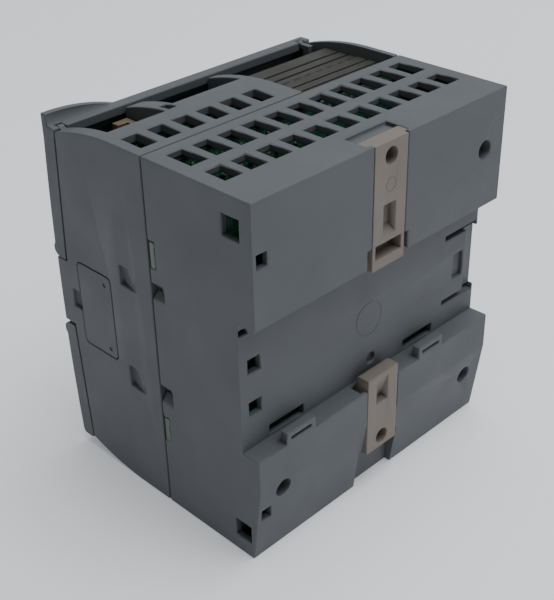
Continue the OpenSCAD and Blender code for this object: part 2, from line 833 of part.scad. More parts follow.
// Slotted screws whose shanks pass through the cages
module terminal_screws(x0, poles) {
    for (i = [0:poles - 1]) {
        x = pole_x(x0, i);
        difference() {
            union() {
                rod_y(x, terminal_screw_z, plug_front_y + 0.3, chamber_y0 - 0.1, screw_head_r);
                rod_y(x, terminal_screw_z, chamber_y0 - 0.2, chamber_y0 + 2, screw_shank_r);
            }
            block([x - 2, plug_front_y, terminal_screw_z - 0.3],
                  [x + 2, plug_front_y + 0.9, terminal_screw_z + 0.3]);
        }
    }
}

io_x0 = (io_bay[0] + io_bay[1] - io_poles * pole_pitch) / 2;
analogue_x0 = (analogue_bay[0] + analogue_bay[1] - analogue_poles * pole_pitch) / 2;
lower_x0 = (lower_io_bay[0] + lower_io_bay[1] - io_poles * pole_pitch) / 2;

// Header on the middle board, castellated along its rear edge
module upper_io_header() {
    w = io_poles * pole_pitch;
    color(terminal_grey) difference() {
        block([io_x0, io_header_y, plug_bottom_z], [io_x0 + w, io_y - 0.05, io_top_z]);
        for (i = [0:io_poles - 1])
            block([pole_x(io_x0, i) - 1.1, -0.4, io_top_z - 3],
                  [pole_x(io_x0, i) + 1.1, io_y + 1, io_top_z + 1]);
        block([io_x0 - 1, -3.4, io_top_z - 0.5], [io_x0 + w + 1, -2.8, io_top_z + 1]);
        block([io_x0 - 1, -6.8, io_top_z - 0.5], [io_x0 + w + 1, -6.2, io_top_z + 1]);
        // corner that clears the housing's tongue
        block([io_x0 - 1, front_rear_y - 1.8, plug_bottom_z - 1], [-in_x + 1.7, io_y + 1, io_top_z + 1]);
    }
}

module upper_io_plug() {
    color(terminal_grey) terminal_plug(io_x0, io_poles, io_header_y - plug_gap, io_top_z - 0.3);
}

module upper_io_clamps() {
    color(steel) clamp_cages(io_x0, io_poles);
}

module upper_io_screws() {
    color(steel) terminal_screws(io_x0, io_poles);
}

// Header on the logic board that reaches through the bay's back wall
module board_header(x0, poles) {
    w = poles * pole_pitch;
    block([x0 + 1.6, header_front_y, 69], [x0 + w - 1.6, logic_y - 0.05, 88]);
}

module analogue_header() {
    color(terminal_grey) board_header(analogue_x0, analogue_poles);
}

module analogue_plug() {
    color(terminal_grey) terminal_plug(analogue_x0, analogue_poles, header_front_y - plug_gap, plug_step_z);
}

module analogue_clamps() {
    color(steel) clamp_cages(analogue_x0, analogue_poles);
}

module analogue_screws() {
    color(steel) terminal_screws(analogue_x0, analogue_poles);
}

module lower_io_header() {
    color(terminal_grey) turned_over() board_header(lower_x0, io_poles);
}

module lower_io_plug() {
    color(terminal_grey) turned_over()
        terminal_plug(lower_x0, io_poles, header_front_y - plug_gap, plug_step_z);
}

module lower_io_clamps() {
    color(steel) turned_over() clamp_cages(lower_x0, io_poles);
}

module lower_io_screws() {
    color(steel) turned_over() terminal_screws(lower_x0, io_poles);
}

// ---- sockets and connectors ----

// Middle of the network socket, its half width, and its rear wall's height
network_x = -31.5;
network_y = -21;
network_half_w = 8;
network_z = [5, 26];
network_hole = [5.9, 4.2, 2.6, 19];
network_latch = [3, 5.8, 16];

// Eight-way network socket that opens downwards
module network_socket() {
    color(steel) difference() {
        block([network_x - network_half_w, network_y - 7, network_z[0]],
              [network_x + network_half_w, logic_y - 0.05, network_z[1]]);
        block([network_x - network_hole[0], network_y - network_hole[1], 4],
              [network_x + network_hole[0], network_y + network_hole[2], network_hole[3]]);
        block([network_x - network_latch[0], network_y - network_latch[1], 4],
              [network_x + network_latch[0], network_y - network_hole[1] + 0.1, network_latch[2]]);
    }
}

// Memory card slot: half width, front face, height range, and its card slit
card_x = (card_bay[0] + card_bay[1]) / 2;
card_half_w = 7.8;
card_y = -28.6;
card_z = [70, 94.4];
card_slit = [6.2, -26.4, -24.9, 76];

// Slot for a small memory card, opening upwards
module memory_card_slot() {
    color(socket_cream) difference() {
        block([card_x - card_half_w, card_y, card_z[0]], [card_x + card_half_w, logic_y - 0.05, card_z[1]]);
        block([card_x - card_slit[0], card_slit[1], card_slit[3]], [card_x + card_slit[0], card_slit[2], 97]);
        // thumb recess in the front wall
        block([card_x - 3, card_y - 1, card_z[1] - 3], [card_x + 3, card_slit[1] + eps, 97]);
    }
}

// Side connectors and the expansion connector: body and slot
side_connector_x = [34, 42];
side_connector_y = -24.4;
side_connector_z = [43.4, 57];
expansion_half_w = 9;
expansion_front_y = -29;

// Connector that faces a side cover
module side_connector() {
    difference() {
        block([side_connector_x[0], side_connector_y, side_connector_z[0]],
              [side_connector_x[1], logic_y - 0.05, side_connector_z[1]]);
        block([side_connector_x[1] - 4, side_connector_y + 2, side_connector_z[0] + 1.6],
              [side_connector_x[1] + 1, side_connector_y + 4.4, side_connector_z[1] - 1.6]);
    }
}

module bus_connector() {
    color(chip_black) side_connector();
}

module side_port_connector() {
    color(chip_black) mirror([1, 0, 0]) side_connector();
}

module expansion_connector() {
    color(chip_black) difference() {
        block([-expansion_half_w, expansion_front_y, 47], [expansion_half_w, logic_y - 0.05, 53]);
        block([-expansion_half_w + 1.4, expansion_front_y - 1, 49.2],
              [expansion_half_w - 1.4, expansion_front_y + 4, 50.8]);
    }
}

// ---- parts on the boards ----

// Faces that the parts stand on
power_face = power_y - 0.05;
io_face = io_y + board_t + 0.05;
logic_face = logic_y + board_t + 0.05;

// Transformer: outline in X and Z, height off the board, and the width of its core's limbs
transformer_x = [-14, 8];
transformer_z = [42, 62];
transformer_h = 15;
core_w = 4;
limb_w = 3;

// Capacitors as [X, radius, height], and the heights of their axes
input_can = [24, 6.5, 18];
input_can_z = [76, 60];
output_can = [-24, 4, 13];
output_can_z = [44, 54, 64];

// Choke and fuse
choke = [-30, 82];
choke_r = 8.5;
choke_bore_r = 3.5;
choke_h = 9;
fuse_x = 37;
fuse_z = 54;
fuse_l = 20;
fuse_r = 2.4;
fuse_cap = [2.7, 5];

// Switching transistor's cooler
cooler_x = [-6, 10];
cooler_z = [76, 90];
cooler_base = 3;
cooler_h = 11;
cooler_fins = 5;
cooler_fin_t = 1.1;

// Relays, processor, driver chips and the clock's capacitor
relay_x0 = -38;
relay_pitch = 11;
relay_size = [7.5, 15.45, 18];
relay_z = 8;
processor_x = 2;
processor_z = 60;
processor_w = 16;
driver_pitch = 10;
driver_z = 83;
driver_size = [5, 1.65, 7];
clock_can = [30, 70];
clock_can_r = 6.2;
clock_can_h = 5.45;

// Transformer: a rectangular core of two ends and two limbs around a coil former
module power_transformer() {
    y0 = power_face - transformer_h;
    color(chip_black) {
        for (z = [transformer_z[0], transformer_z[1] - core_w])
            block([transformer_x[0], y0, z], [transformer_x[1], power_face, z + core_w]);
        for (x = [transformer_x[0], transformer_x[1] - limb_w])
            block([x, y0, transformer_z[0] + core_w - 0.1],
                  [x + limb_w, power_face - 1, transformer_z[1] - core_w + 0.1]);
        block([transformer_x[0] + 2 * core_w, y0 + 3, transformer_z[0] + core_w],
              [transformer_x[1] - 2 * core_w, power_face - 4, transformer_z[1] - core_w]);
    }
}

// Upright can with a grooved rim
module capacitor(x, z, r, h) {
    difference() {
        rod_y(x, z, power_face - h, power_face, r);
        difference() {
            rod_y(x, z, power_face - 3, power_face - 2, r + 1);
            rod_y(x, z, power_face - 4, power_face, r - 0.4);
        }
    }
}

module input_capacitors() {
    color(chip_black) for (z = input_can_z) capacitor(input_can[0], z, input_can[1], input_can[2]);
}

module output_capacitors() {
    color(chip_black) for (z = output_can_z) capacitor(output_can[0], z, output_can[1], output_can[2]);
}

// Ring core choke
module mains_choke() {
    color(brass) difference() {
        rod_y(choke[0], choke[1], power_face - choke_h, power_face, choke_r, fn_large);
        rod_y(choke[0], choke[1], power_face - choke_h - 1, power_face + 1, choke_bore_r);
    }
}

// Glass tube fuse with end caps and two feet
module input_fuse() {
    fuse_y = power_face - 3.2;
    color(steel) {
        translate([fuse_x, fuse_y, fuse_z]) cylinder(r = fuse_r, h = fuse_l, $fn = fn_small);
        for (z = [fuse_z, fuse_z + fuse_l - fuse_cap[1]]) {
            translate([fuse_x, fuse_y, z]) cylinder(r = fuse_cap[0], h = fuse_cap[1], $fn = fn_small);
            block([fuse_x - 0.4, power_face - 1, z + 1.5], [fuse_x + 0.4, power_face, z + 3.5]);
        }
    }
}

// Switching transistor on a finned cooler
module power_switch() {
    fin_pitch = (cooler_x[1] - cooler_x[0] - cooler_fin_t) / (cooler_fins - 1);
    color(steel) {
        block([cooler_x[0], power_face - cooler_base, cooler_z[0]], [cooler_x[1], power_face, cooler_z[1]]);
        for (i = [0:cooler_fins - 1]) {
            x = cooler_x[0] + i * fin_pitch;
            block([x, power_face - cooler_h, cooler_z[0]],
                  [x + cooler_fin_t, power_face - cooler_base + 0.1, cooler_z[1]]);
        }
    }
}

// Row of output relays on the middle board
module output_relays() {
    color(chip_black) for (i = [0:3])
        translate([relay_x0 + i * relay_pitch, io_face, relay_z]) cube(relay_size);
}

module processor_chip() {
    color(chip_black)
        translate([processor_x, logic_face, processor_z]) cube([processor_w, 1.45, processor_w]);
}

module driver_chips() {
    color(chip_black) for (i = [0:3]) translate([i * driver_pitch, logic_face, driver_z]) cube(driver_size);
}

// Coin shaped capacitor that keeps the clock running
module backup_capacitor() {
    color(steel) rod_y(clock_can[0], clock_can[1], logic_face, logic_face + clock_can_h, clock_can_r);
}

// Places of the indicator lamps on both sides of the front band
module lamp_grid() {
    for (side = [-1, 1], i = [0:lamp_columns - 1], z = lamp_rows)
        translate([side * (lamp_x0 + i * lamp_pitch), 0, z]) children();
}

module status_lamps() {
    color(clear_grey) lamp_grid() block([-0.8, logic_y - 1, -0.5], [0.8, logic_y - 0.05, 0.5]);
}

module lamp_light_pipes() {
    color(clear_grey) lamp_grid()
        block([-lamp_w / 2, band_y + 0.1, -lamp_w / 2], [lamp_w / 2, logic_y - 1.2, lamp_w / 2]);
}

rear_housing();
front_housing();
upper_door();
lower_door();
upper_rail_clip();
lower_rail_clip();
bus_cover();
side_port_cover();
expansion_cover();
power_board();
io_board();
logic_board();
rear_stack_connector();
front_stack_connector();
upper_io_header();
upper_io_plug();
upper_io_clamps();
upper_io_screws();
analogue_header();
analogue_plug();
analogue_clamps();
analogue_screws();
lower_io_header();
lower_io_plug();
lower_io_clamps();
lower_io_screws();
network_socket();
memory_card_slot();
bus_connector();
side_port_connector();
expansion_connector();
power_transformer();
input_capacitors();
output_capacitors();
mains_choke();
input_fuse();
power_switch();
output_relays();
processor_chip();
driver_chips();
backup_capacitor();
status_lamps();
lamp_light_pipes();
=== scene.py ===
# %% [markdown]
# # A rail-mounted controller module
#
# The object is a small industrial controller seen from its rail side: two grey moulded housings that
# meet at a seam, rows of vents with green circuit boards behind them, two beige clips that hook a
# 35 mm rail, and hinged doors over the terminals at the front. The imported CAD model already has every
# part at its true size and place. This script keeps that frame fixed and gives it its looks: rounded
# mould edges, small electronic parts that the CAD leaves out, and a worked-out finish on each surface.

import json
import math

import bmesh
import bpy
import numpy as np
from mathutils import Matrix, Vector


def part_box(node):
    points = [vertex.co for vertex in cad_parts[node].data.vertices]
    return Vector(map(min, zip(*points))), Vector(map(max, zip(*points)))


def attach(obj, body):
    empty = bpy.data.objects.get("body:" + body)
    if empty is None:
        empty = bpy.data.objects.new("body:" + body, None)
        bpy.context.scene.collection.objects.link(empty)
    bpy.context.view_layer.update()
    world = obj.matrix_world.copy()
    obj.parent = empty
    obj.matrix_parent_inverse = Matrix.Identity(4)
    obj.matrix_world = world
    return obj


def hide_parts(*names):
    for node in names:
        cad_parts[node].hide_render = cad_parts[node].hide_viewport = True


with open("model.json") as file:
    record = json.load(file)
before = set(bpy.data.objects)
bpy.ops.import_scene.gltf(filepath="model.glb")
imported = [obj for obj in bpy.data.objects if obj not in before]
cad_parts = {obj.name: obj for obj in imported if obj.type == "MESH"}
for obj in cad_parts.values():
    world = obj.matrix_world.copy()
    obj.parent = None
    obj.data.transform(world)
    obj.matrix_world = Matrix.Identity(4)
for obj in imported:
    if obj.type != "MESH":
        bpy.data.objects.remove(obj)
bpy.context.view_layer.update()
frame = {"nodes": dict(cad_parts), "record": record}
MM = 0.001
body_of_node = {n: b for b, ns in frame["record"]["behaviour"]["bodies"].items() for n in ns}
slot_of_node = {s["node"]: s["material_slot"] for s in frame["record"]["subparts"]}

# %% [markdown]
# ## The camera
#
# The camera stands behind the module, above its right rear corner. Its place and lens were worked out
# so that the module's own corners, at their real size, fall where they should. A camera matrix is three
# directions (right, up and back) and a position, so the turn, the height and the small roll are put in
# as angles and the matrix is built from them.

# %% Camera
def camera_matrix(position, azimuth, elevation, roll):
    """Camera-to-world matrix. back = (sin a cos e, -cos a cos e, sin e) for azimuth a and elevation e,
    right = (cos a, sin a, 0), up = back x right, and right and up are then turned by the roll."""
    a, e, r = (math.radians(v) for v in (azimuth, elevation, roll))
    back = Vector((math.sin(a) * math.cos(e), -math.cos(a) * math.cos(e), math.sin(e)))
    right = Vector((math.cos(a), math.sin(a), 0))
    up = back.cross(right)
    right, up = (right * math.cos(r) + up * math.sin(r), up * math.cos(r) - right * math.sin(r))
    turn = Matrix((right, up, back)).transposed()
    return Matrix.Translation(position) @ turn.to_4x4()


camera_data = bpy.data.cameras.new("rear_corner_view")
camera_data.sensor_width = 36
camera_data.lens = 66.59
camera = bpy.data.objects.new("rear_corner_view", camera_data)
bpy.context.scene.collection.objects.link(camera)
camera.matrix_world = camera_matrix(Vector((182.65, 184.35, 200.33)) * MM, 135.41, 31.46, -1.29)
bpy.context.scene.camera = camera
print("camera: lens", camera_data.lens, "mm at", [round(v, 3) for v in camera.location])

# %% [markdown]
# ## Room, floor and light
#
# The module stands on a plain pale surface in even, slightly cool daylight. A large floor that curves up
# behind the object gives a seamless background. A broad lamp overhead, two weak ones at the rear and the
# side, and a dim pale world keep the top face lightest and the two visible side faces close together.

# %% Stage
def stage_sheet(half_width, run, rise, bend_r, steps):
    """A floor that turns up into a backdrop. Seen from the side it is a flat run, a quarter circle of
    radius bend_r (y = run + r sin t, z = r - r cos t), and an upright; the profile is carried along x."""
    t = np.linspace(0, math.pi / 2, steps)
    y = np.concatenate([[-run], run + bend_r * np.sin(t), [run + bend_r]])
    z = np.concatenate([[0], bend_r - bend_r * np.cos(t), [rise]])
    side = np.array([-half_width, half_width])
    points = np.stack(np.broadcast_arrays(side[:, None], y[None], z[None]), axis=-1)
    return points


def grid_faces(rows, columns, close_rows=False, close_columns=False):
    """Quads of a rows x columns grid as an (n, 4) array of indices; a closed direction wraps round."""
    i = np.arange(rows if close_rows else rows - 1)
    j = np.arange(columns if close_columns else columns - 1)
    i, j = np.meshgrid(i, j, indexing="ij")
    i2, j2 = (i + 1) % rows, (j + 1) % columns
    quads = np.stack([i * columns + j, i2 * columns + j, i2 * columns + j2, i * columns + j2], axis=-1)
    return quads.reshape(-1, 4)


def add_object(name, points, faces, smooth=False):
    """Puts a point array (n, 3) in metres and a list of face arrays into a new mesh object."""
    mesh = bpy.data.meshes.new(name)
    mesh.from_pydata(points.reshape(-1, 3), [], [f for group in faces for f in group.tolist()])
    mesh.polygons.foreach_set("use_smooth", np.full(len(mesh.polygons), smooth))
    mesh.update()
    obj = bpy.data.objects.new(name, mesh)
    bpy.context.scene.collection.objects.link(obj)
    return obj


sheet = stage_sheet(half_width=3, run=1.2, rise=2.5, bend_r=0.8, steps=24)
floor = add_object("floor", sheet, [grid_faces(*sheet.shape[:2])], smooth=True)
floor.matrix_world = Matrix.Rotation(math.radians(135), 4, "Z")


def area_light(name, place, aim, size, power, tint):
    """A square lamp of the given size, turned so that its -Z axis points from place to aim."""
    data = bpy.data.lights.new(name, "AREA")
    data.size = size
    data.energy = power
    data.color = tint
    lamp = bpy.data.objects.new(name, data)
    bpy.context.scene.collection.objects.link(lamp)
    away = (Vector(place) - Vector(aim)).normalized()
    lamp.matrix_world = Matrix.Translation(place) @ away.to_track_quat("Z", "Y").to_matrix().to_4x4()
    return lamp


middle = (0, 0, 0.05)
area_light("overhead", (-0.3, 0.25, 1.5), middle, 1.4, 28, (0.955, 0.985, 1.0))
area_light("rear_window", (-0.3, 1.5, 0.8), middle, 1.2, 2.2, (0.97, 0.99, 1.0))
area_light("side_fill", (1.6, 0.1, 0.7), middle, 1.2, 0.4, (1.0, 0.99, 0.97))

world = bpy.data.worlds.new("pale_room")
world.use_nodes = True
world.node_tree.nodes["Background"].inputs["Color"].default_value = (0.86, 0.89, 0.93, 1)
world.node_tree.nodes["Background"].inputs["Strength"].default_value = 0.2
bpy.context.scene.world = world
print("stage: floor and three lamps")

# %% [markdown]
# ## How the finishes are built
#
# Every finish is a Principled shader fed by noise in Object coordinates, so the pattern is fixed to the
# part and does not depend on an unwrapped map. A colour varies between two near tones, the roughness
# follows a second noise, and a fine grain goes into a Bump node. Constants such as metallic or coat are
# set on the shader's own sockets.

# %% Finish helpers
def socket(node, name):
    """The input of a node by name, skipping the disabled ones that Mix nodes hide."""
    return next(s for s in node.inputs if s.name == name and s.enabled)


class Finish:
    """One material under construction: a thin wrapper that adds nodes and links them in one call."""

    def __init__(self, name):
        self.material = bpy.data.materials.new(name)
        self.material.use_nodes = True
        self.tree = self.material.node_tree
        self.shader = self.tree.nodes["Principled BSDF"]
        self.coordinates = self.node("ShaderNodeTexCoord").outputs["Object"]

    def node(self, kind, settings=None, **inputs):
        """Adds a node, sets its properties from settings, and fills inputs with values or links."""
        made = self.tree.nodes.new(kind)
        for key, value in (settings or {}).items():
            setattr(made, key, value)
        for key, value in inputs.items():
            target = socket(made, key.replace("_", " "))
            if isinstance(value, bpy.types.NodeSocket):
                self.tree.links.new(value, target)
            else:
                target.default_value = value
        return made

    def noise(self, scale, detail=2.0, stretch=(1, 1, 1)):
        """Noise with features about 1/scale metres across, 0 to 1, stretched by the Mapping scale."""
        place = self.node("ShaderNodeMapping", Vector=self.coordinates, Scale=stretch)
        made = self.node("ShaderNodeTexNoise", Vector=place.outputs["Vector"], Scale=scale, Detail=detail)
        return made.outputs["Fac"]

    def span(self, value, low, high, start=0.3, stop=0.7):
        """Maps value from start..stop to low..high, clamped at both ends."""
        made = self.node("ShaderNodeMapRange", Value=value)
        for key, number in (("From Min", start), ("From Max", stop), ("To Min", low), ("To Max", high)):
            socket(made, key).default_value = number
        return made.outputs["Result"]

    def blend(self, factor, first, second):
        """Colour that goes from first to second as factor goes from 0 to 1."""
        made = self.node("ShaderNodeMix", {"data_type": "RGBA"}, Factor=factor, A=first, B=second)
        return made.outputs[2]

    def bump(self, height, strength, distance, below=None):
        """Bump from a height, stacked on an earlier bump if there is one; distance is in metres."""
        inputs = {"Height": height, "Strength": strength, "Distance": distance}
        if below is not None:
            inputs["Normal"] = below
        return self.node("ShaderNodeBump", **inputs).outputs["Normal"]

    def done(self, color, roughness, normal=None, **constants):
        """Connects the maps to the shader, sets its constant sockets and returns the material."""
        self.tree.links.new(color, self.shader.inputs["Base Color"])
        self.tree.links.new(roughness, self.shader.inputs["Roughness"])
        if normal is not None:
            self.tree.links.new(normal, self.shader.inputs["Normal"])
        for key, value in constants.items():
            self.shader.inputs[key.replace("_", " ")].default_value = value
        return self.material


def tone(red, green, blue, factor=1.0):
    """A linear colour with alpha from 0 to 255 screen values, times a factor."""
    screen = np.array([red, green, blue]) / 255
    linear = np.where(screen <= 0.04045, screen / 12.92, ((screen + 0.055) / 1.055) ** 2.4)
    return (*(linear * factor).tolist(), 1.0)


# %% [markdown]
# ## Moulded plastics
#
# The housings are injection-moulded in blue-grey with a very fine spark-eroded grain: matte, with faint
# cloudy variation where the melt flowed. The clips are a smoother beige. The terminal blocks are a dark
# warm grey with a slightly glossier skin. All of them share one recipe, with their own tones and grain.

# %% Moulded plastics
def moulded(name, color, contrast, grain_scale, grain_depth, rough_low, rough_high, specular):
    """Moulded plastic: cloudy tone, fine grain bump, and roughness that follows a noise of its own."""
    f = Finish(name)
    cloud = f.noise(38, detail=3)
    speckle = f.noise(grain_scale, detail=3)
    light = f.blend(f.span(cloud, 0, 1), tone(*color, 1 - contrast), tone(*color, 1 + contrast))
    spots = f.blend(f.span(speckle, 0, 0.35, 0.45, 0.8), light, tone(*color, 1 + 3 * contrast))
    grain = f.bump(speckle, 0.55, grain_depth)
    waviness = f.bump(f.noise(120, detail=1), 0.25, 0.00006, grain)
    rough = f.span(f.noise(90, detail=2), rough_low, rough_high)
    return f.done(spots, rough, waviness, Specular_IOR_Level=specular)


finishes = {
    "housing_grey": moulded("housing_grey", (89, 92, 95), 0.04, 5200, 0.00002, 0.52, 0.64, 0.26),
    "clip_beige": moulded("clip_beige", (118, 110, 102), 0.05, 3800, 0.000012, 0.45, 0.58, 0.30),
    "terminal_grey": moulded("terminal_grey", (50, 49, 44), 0.10, 4400, 0.00002, 0.46, 0.60, 0.28),
    "component_black": moulded("component_black", (34, 34, 36), 0.10, 4200, 0.00002, 0.44, 0.58, 0.35),
    "socket_tan": moulded("socket_tan", (96, 84, 66), 0.10, 3600, 0.000012, 0.40, 0.52, 0.5),
    "capacitor_sleeve": moulded("capacitor_sleeve", (24, 30, 52), 0.10, 2600, 0.000008, 0.26, 0.36, 0.6),
}
print("moulded plastics:", ", ".join(finishes))

# %% [markdown]
# ## Circuit boards
#
# A board is glass fibre in epoxy under a green solder mask. On its faces the copper tracks show as
# slightly lighter lines that turn square corners, with small dots where they pass through. A cell
# texture measured by the larger of the two distances gives nested squares, and a repeating step cuts
# them into tracks. The sawn edges show the bare olive laminate, picked out by the surface's own normal.

# %% Circuit boards
def stepped(f, value, repeats, gap):
    """1 where value x repeats is past gap in its own unit step, else 0: evenly spaced lines."""
    scaled = f.node("ShaderNodeMath", {"operation": "MULTIPLY"})
    f.tree.links.new(value, scaled.inputs[0])
    scaled.inputs[1].default_value = repeats
    part = f.node("ShaderNodeMath", {"operation": "FRACT"})
    f.tree.links.new(scaled.outputs[0], part.inputs[0])
    return f.span(part.outputs[0], 0, 1, gap, gap + 0.08)


def cells(f, scale, metric):
    """Distance to the nearest of a set of scattered points, in the metric named."""
    flat = f.node("ShaderNodeMapping", Vector=f.coordinates, Scale=(1, 0, 1))
    made = f.node("ShaderNodeTexVoronoi", {"distance": metric}, Vector=flat.outputs["Vector"], Scale=scale)
    return made.outputs["Distance"]


def across_board(f):
    """0 on the board's two faces, whose normals lie along Y, and 1 on its sawn edges."""
    normal = f.node("ShaderNodeTexCoord").outputs["Normal"]
    split = f.node("ShaderNodeSeparateXYZ", Vector=normal)
    size = f.node("ShaderNodeMath", {"operation": "ABSOLUTE"})
    f.tree.links.new(split.outputs["Y"], size.inputs[0])
    return f.span(size.outputs[0], 1, 0, 0.5, 0.6)


def circuit_board(name):
    """Green mask with lighter tracks and dots, and olive laminate along the edges."""
    f = Finish(name)
    cloud = f.noise(60, detail=2)
    mask = f.blend(f.span(cloud, 0, 1), tone(30, 96, 74), tone(42, 118, 88))
    tracks = stepped(f, cells(f, 130, "CHEBYCHEV"), 7, 0.66)
    lined = f.blend(tracks, mask, tone(70, 150, 106))
    dots = f.span(cells(f, 420, "EUCLIDEAN"), 1, 0, 0.10, 0.14)
    dotted = f.blend(dots, lined, tone(150, 150, 120))
    fibre = f.noise(2400, detail=2, stretch=(1, 1, 0.2))
    laminate = f.blend(f.span(fibre, 0, 1), tone(50, 53, 40), tone(74, 76, 58))
    color = f.blend(across_board(f), dotted, laminate)
    height = f.bump(tracks, 0.5, 0.00003, f.bump(fibre, 0.2, 0.00001))
    return f.done(color, f.span(f.noise(300), 0.30, 0.44), height, Coat_Weight=0.25, Coat_Roughness=0.2)


finishes["circuit_board"] = circuit_board("circuit_board")
print("board finish:", finishes["circuit_board"].name)

# %% [markdown]
# ## Metals and clear plastic
#
# Tinned terminals and cans are dull silver with faint rolling marks, the cooler is brushed aluminium,
# the windings are enamelled copper with a clear coat, and the contacts are gold over brass. Their base
# colours are bright and fully metallic, and the roughness does most of the work. The light pipes are
# clear plastic: mostly transmission, a little roughness, and a faint grey tint.

# %% Metals and clear plastic
def metal(name, dark, bright, rough_low, rough_high, stretch, **constants):
    """Metal with streaks: noise stretched along one direction drives tone, roughness and a light bump."""
    f = Finish(name)
    streak = f.noise(900, detail=3, stretch=stretch)
    color = f.blend(f.span(streak, 0, 1), tone(*dark), tone(*bright))
    rough = f.span(streak, rough_low, rough_high)
    return f.done(color, rough, f.bump(streak, 0.25, 0.000015), Metallic=1.0, **constants)


def clear_moulding(name):
    """Clear plastic with a faint grey tint and slightly uneven polish."""
    f = Finish(name)
    haze = f.noise(500, detail=2)
    color = f.blend(f.span(haze, 0, 1), tone(214, 222, 226), tone(232, 238, 240))
    rough = f.span(haze, 0.08, 0.18)
    return f.done(color, rough, f.bump(haze, 0.1, 0.00001), Transmission_Weight=0.85, IOR=1.49)


finishes["plated_steel"] = metal("plated_steel", (170, 168, 162), (206, 205, 200), 0.26, 0.42, (1, 1, 0.15))
finishes["solder_tin"] = metal("solder_tin", (70, 74, 70), (104, 108, 104), 0.5, 0.66, (1, 1, 1))
finishes["cooler_aluminium"] = metal(
    "cooler_aluminium", (176, 178, 180), (208, 210, 212), 0.34, 0.48, (0.1, 1, 1)
)
finishes["copper_winding"] = metal(
    "copper_winding", (150, 80, 44), (190, 110, 62), 0.24, 0.36, (1, 1, 1),
    Coat_Weight=0.6, Coat_Roughness=0.1,
)
finishes["contact_gold"] = metal("contact_gold", (196, 156, 84), (226, 190, 116), 0.2, 0.32, (1, 1, 0.3))
finishes["clear_plastic"] = clear_moulding("clear_plastic")
print("finishes:", len(finishes))


# %% Stage surface
def stage_surface(name):
    """Matte pale sheet in faint clouds. Its own cool glow makes up for the light that falls off behind."""
    f = Finish(name)
    cloud = f.noise(1.4, detail=2)
    color = f.blend(f.span(cloud, 0, 1), tone(228, 226, 228), tone(236, 234, 237))
    grain = f.bump(f.noise(240, detail=2), 0.05, 0.0002)
    return f.done(color, f.span(cloud, 0.7, 0.8), grain, Specular_IOR_Level=0.15,
                  Emission_Color=(0.90, 0.96, 1.0, 1), Emission_Strength=0.22)


floor.data.materials.append(stage_surface("pale_sheet"))
print("stage surface done")

# %% [markdown]
# ## Rounded mould edges
#
# A real moulding has no knife edges: every outer corner carries a small radius that catches a thin line
# of light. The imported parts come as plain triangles, so a copy of each is merged and its flat faces are
# joined up before a Bevel modifier rounds the outer edges. A flat face with windows in it can't be one
# polygon, so it is first cut straight through each window, square to its sides. A fixed width would fold
# over itself beside small slots, so each edge gets its own weight from the room its neighbours leave.

# %% Flat faces without slivers
def triangle_table(shape):
    """Arrays of a merged triangle mesh: corners (n, 3), normals, and for each edge its two faces."""
    shape.verts.ensure_lookup_table()
    shape.faces.ensure_lookup_table()
    shape.verts.index_update()
    shape.faces.index_update()
    points = np.array([v.co[:] for v in shape.verts])
    normals = np.array([f.normal[:] for f in shape.faces])
    edges = [e for e in shape.edges if len(e.link_faces) == 2]
    ends = np.array([[v.index for v in e.verts] for e in edges])
    sides = np.array([[f.index for f in e.link_faces] for e in edges])
    return points, normals, ends, sides


def spread_labels(count, pairs):
    """Connected groups: every item takes the least label among its pairs until nothing changes."""
    label = np.arange(count)
    while len(pairs):
        least = label.copy()
        np.minimum.at(least, pairs[:, 0], label[pairs[:, 1]])
        np.minimum.at(least, pairs[:, 1], label[pairs[:, 0]])
        least = least[least]
        if (least == label).all():
            break
        label = least
    return label


def best_line(low, high, taken):
    """Position between low and high that lies farthest from every coordinate in taken."""
    tries = np.linspace(low, high, 41)[1:-1]
    gap = np.abs(tries[:, None] - taken[None]).min(axis=1)
    gap = np.minimum(gap, np.minimum(tries - low, high - tries))
    return float(tries[gap.argmax()])


def window_cuts(shape):
    """(region's faces, axis, position) for the straight cuts that open every window of every flat face."""
    points, normals, ends, sides = triangle_table(shape)
    flat = (normals[sides[:, 0]] * normals[sides[:, 1]]).sum(1) > math.cos(math.radians(0.4))
    region = spread_labels(len(normals), sides[flat])
    border, cuts = ~flat, []
    owner = region[sides]
    for r in np.unique(region):
        of_region = border & ((owner[:, 0] == r) | (owner[:, 1] == r))
        rim = ends[of_region]
        corner, index = np.unique(rim, return_inverse=True)
        loop = spread_labels(len(corner), index.reshape(-1, 2))
        if len(np.unique(loop)) < 2:
            continue
        place = points[corner]
        normal = np.abs(normals[region == r][0])
        extent = np.ptp(place, axis=0) - 1e3 * (normal > 0.5)
        across = int(np.argsort(extent)[-2])
        size = [np.ptp(place[loop == k], axis=0).sum() for k in np.unique(loop)]
        windows = [k for k, s in zip(np.unique(loop), size) if s < max(size)]
        lines = []
        for k in windows:
            low, high = place[loop == k].min(axis=0)[across], place[loop == k].max(axis=0)[across]
            if not any(low + 2e-4 < line < high - 2e-4 for line in lines):
                lines.append(best_line(low, high, place[:, across]))
        cuts.append((np.flatnonzero(region == r), across, lines))
    return cuts


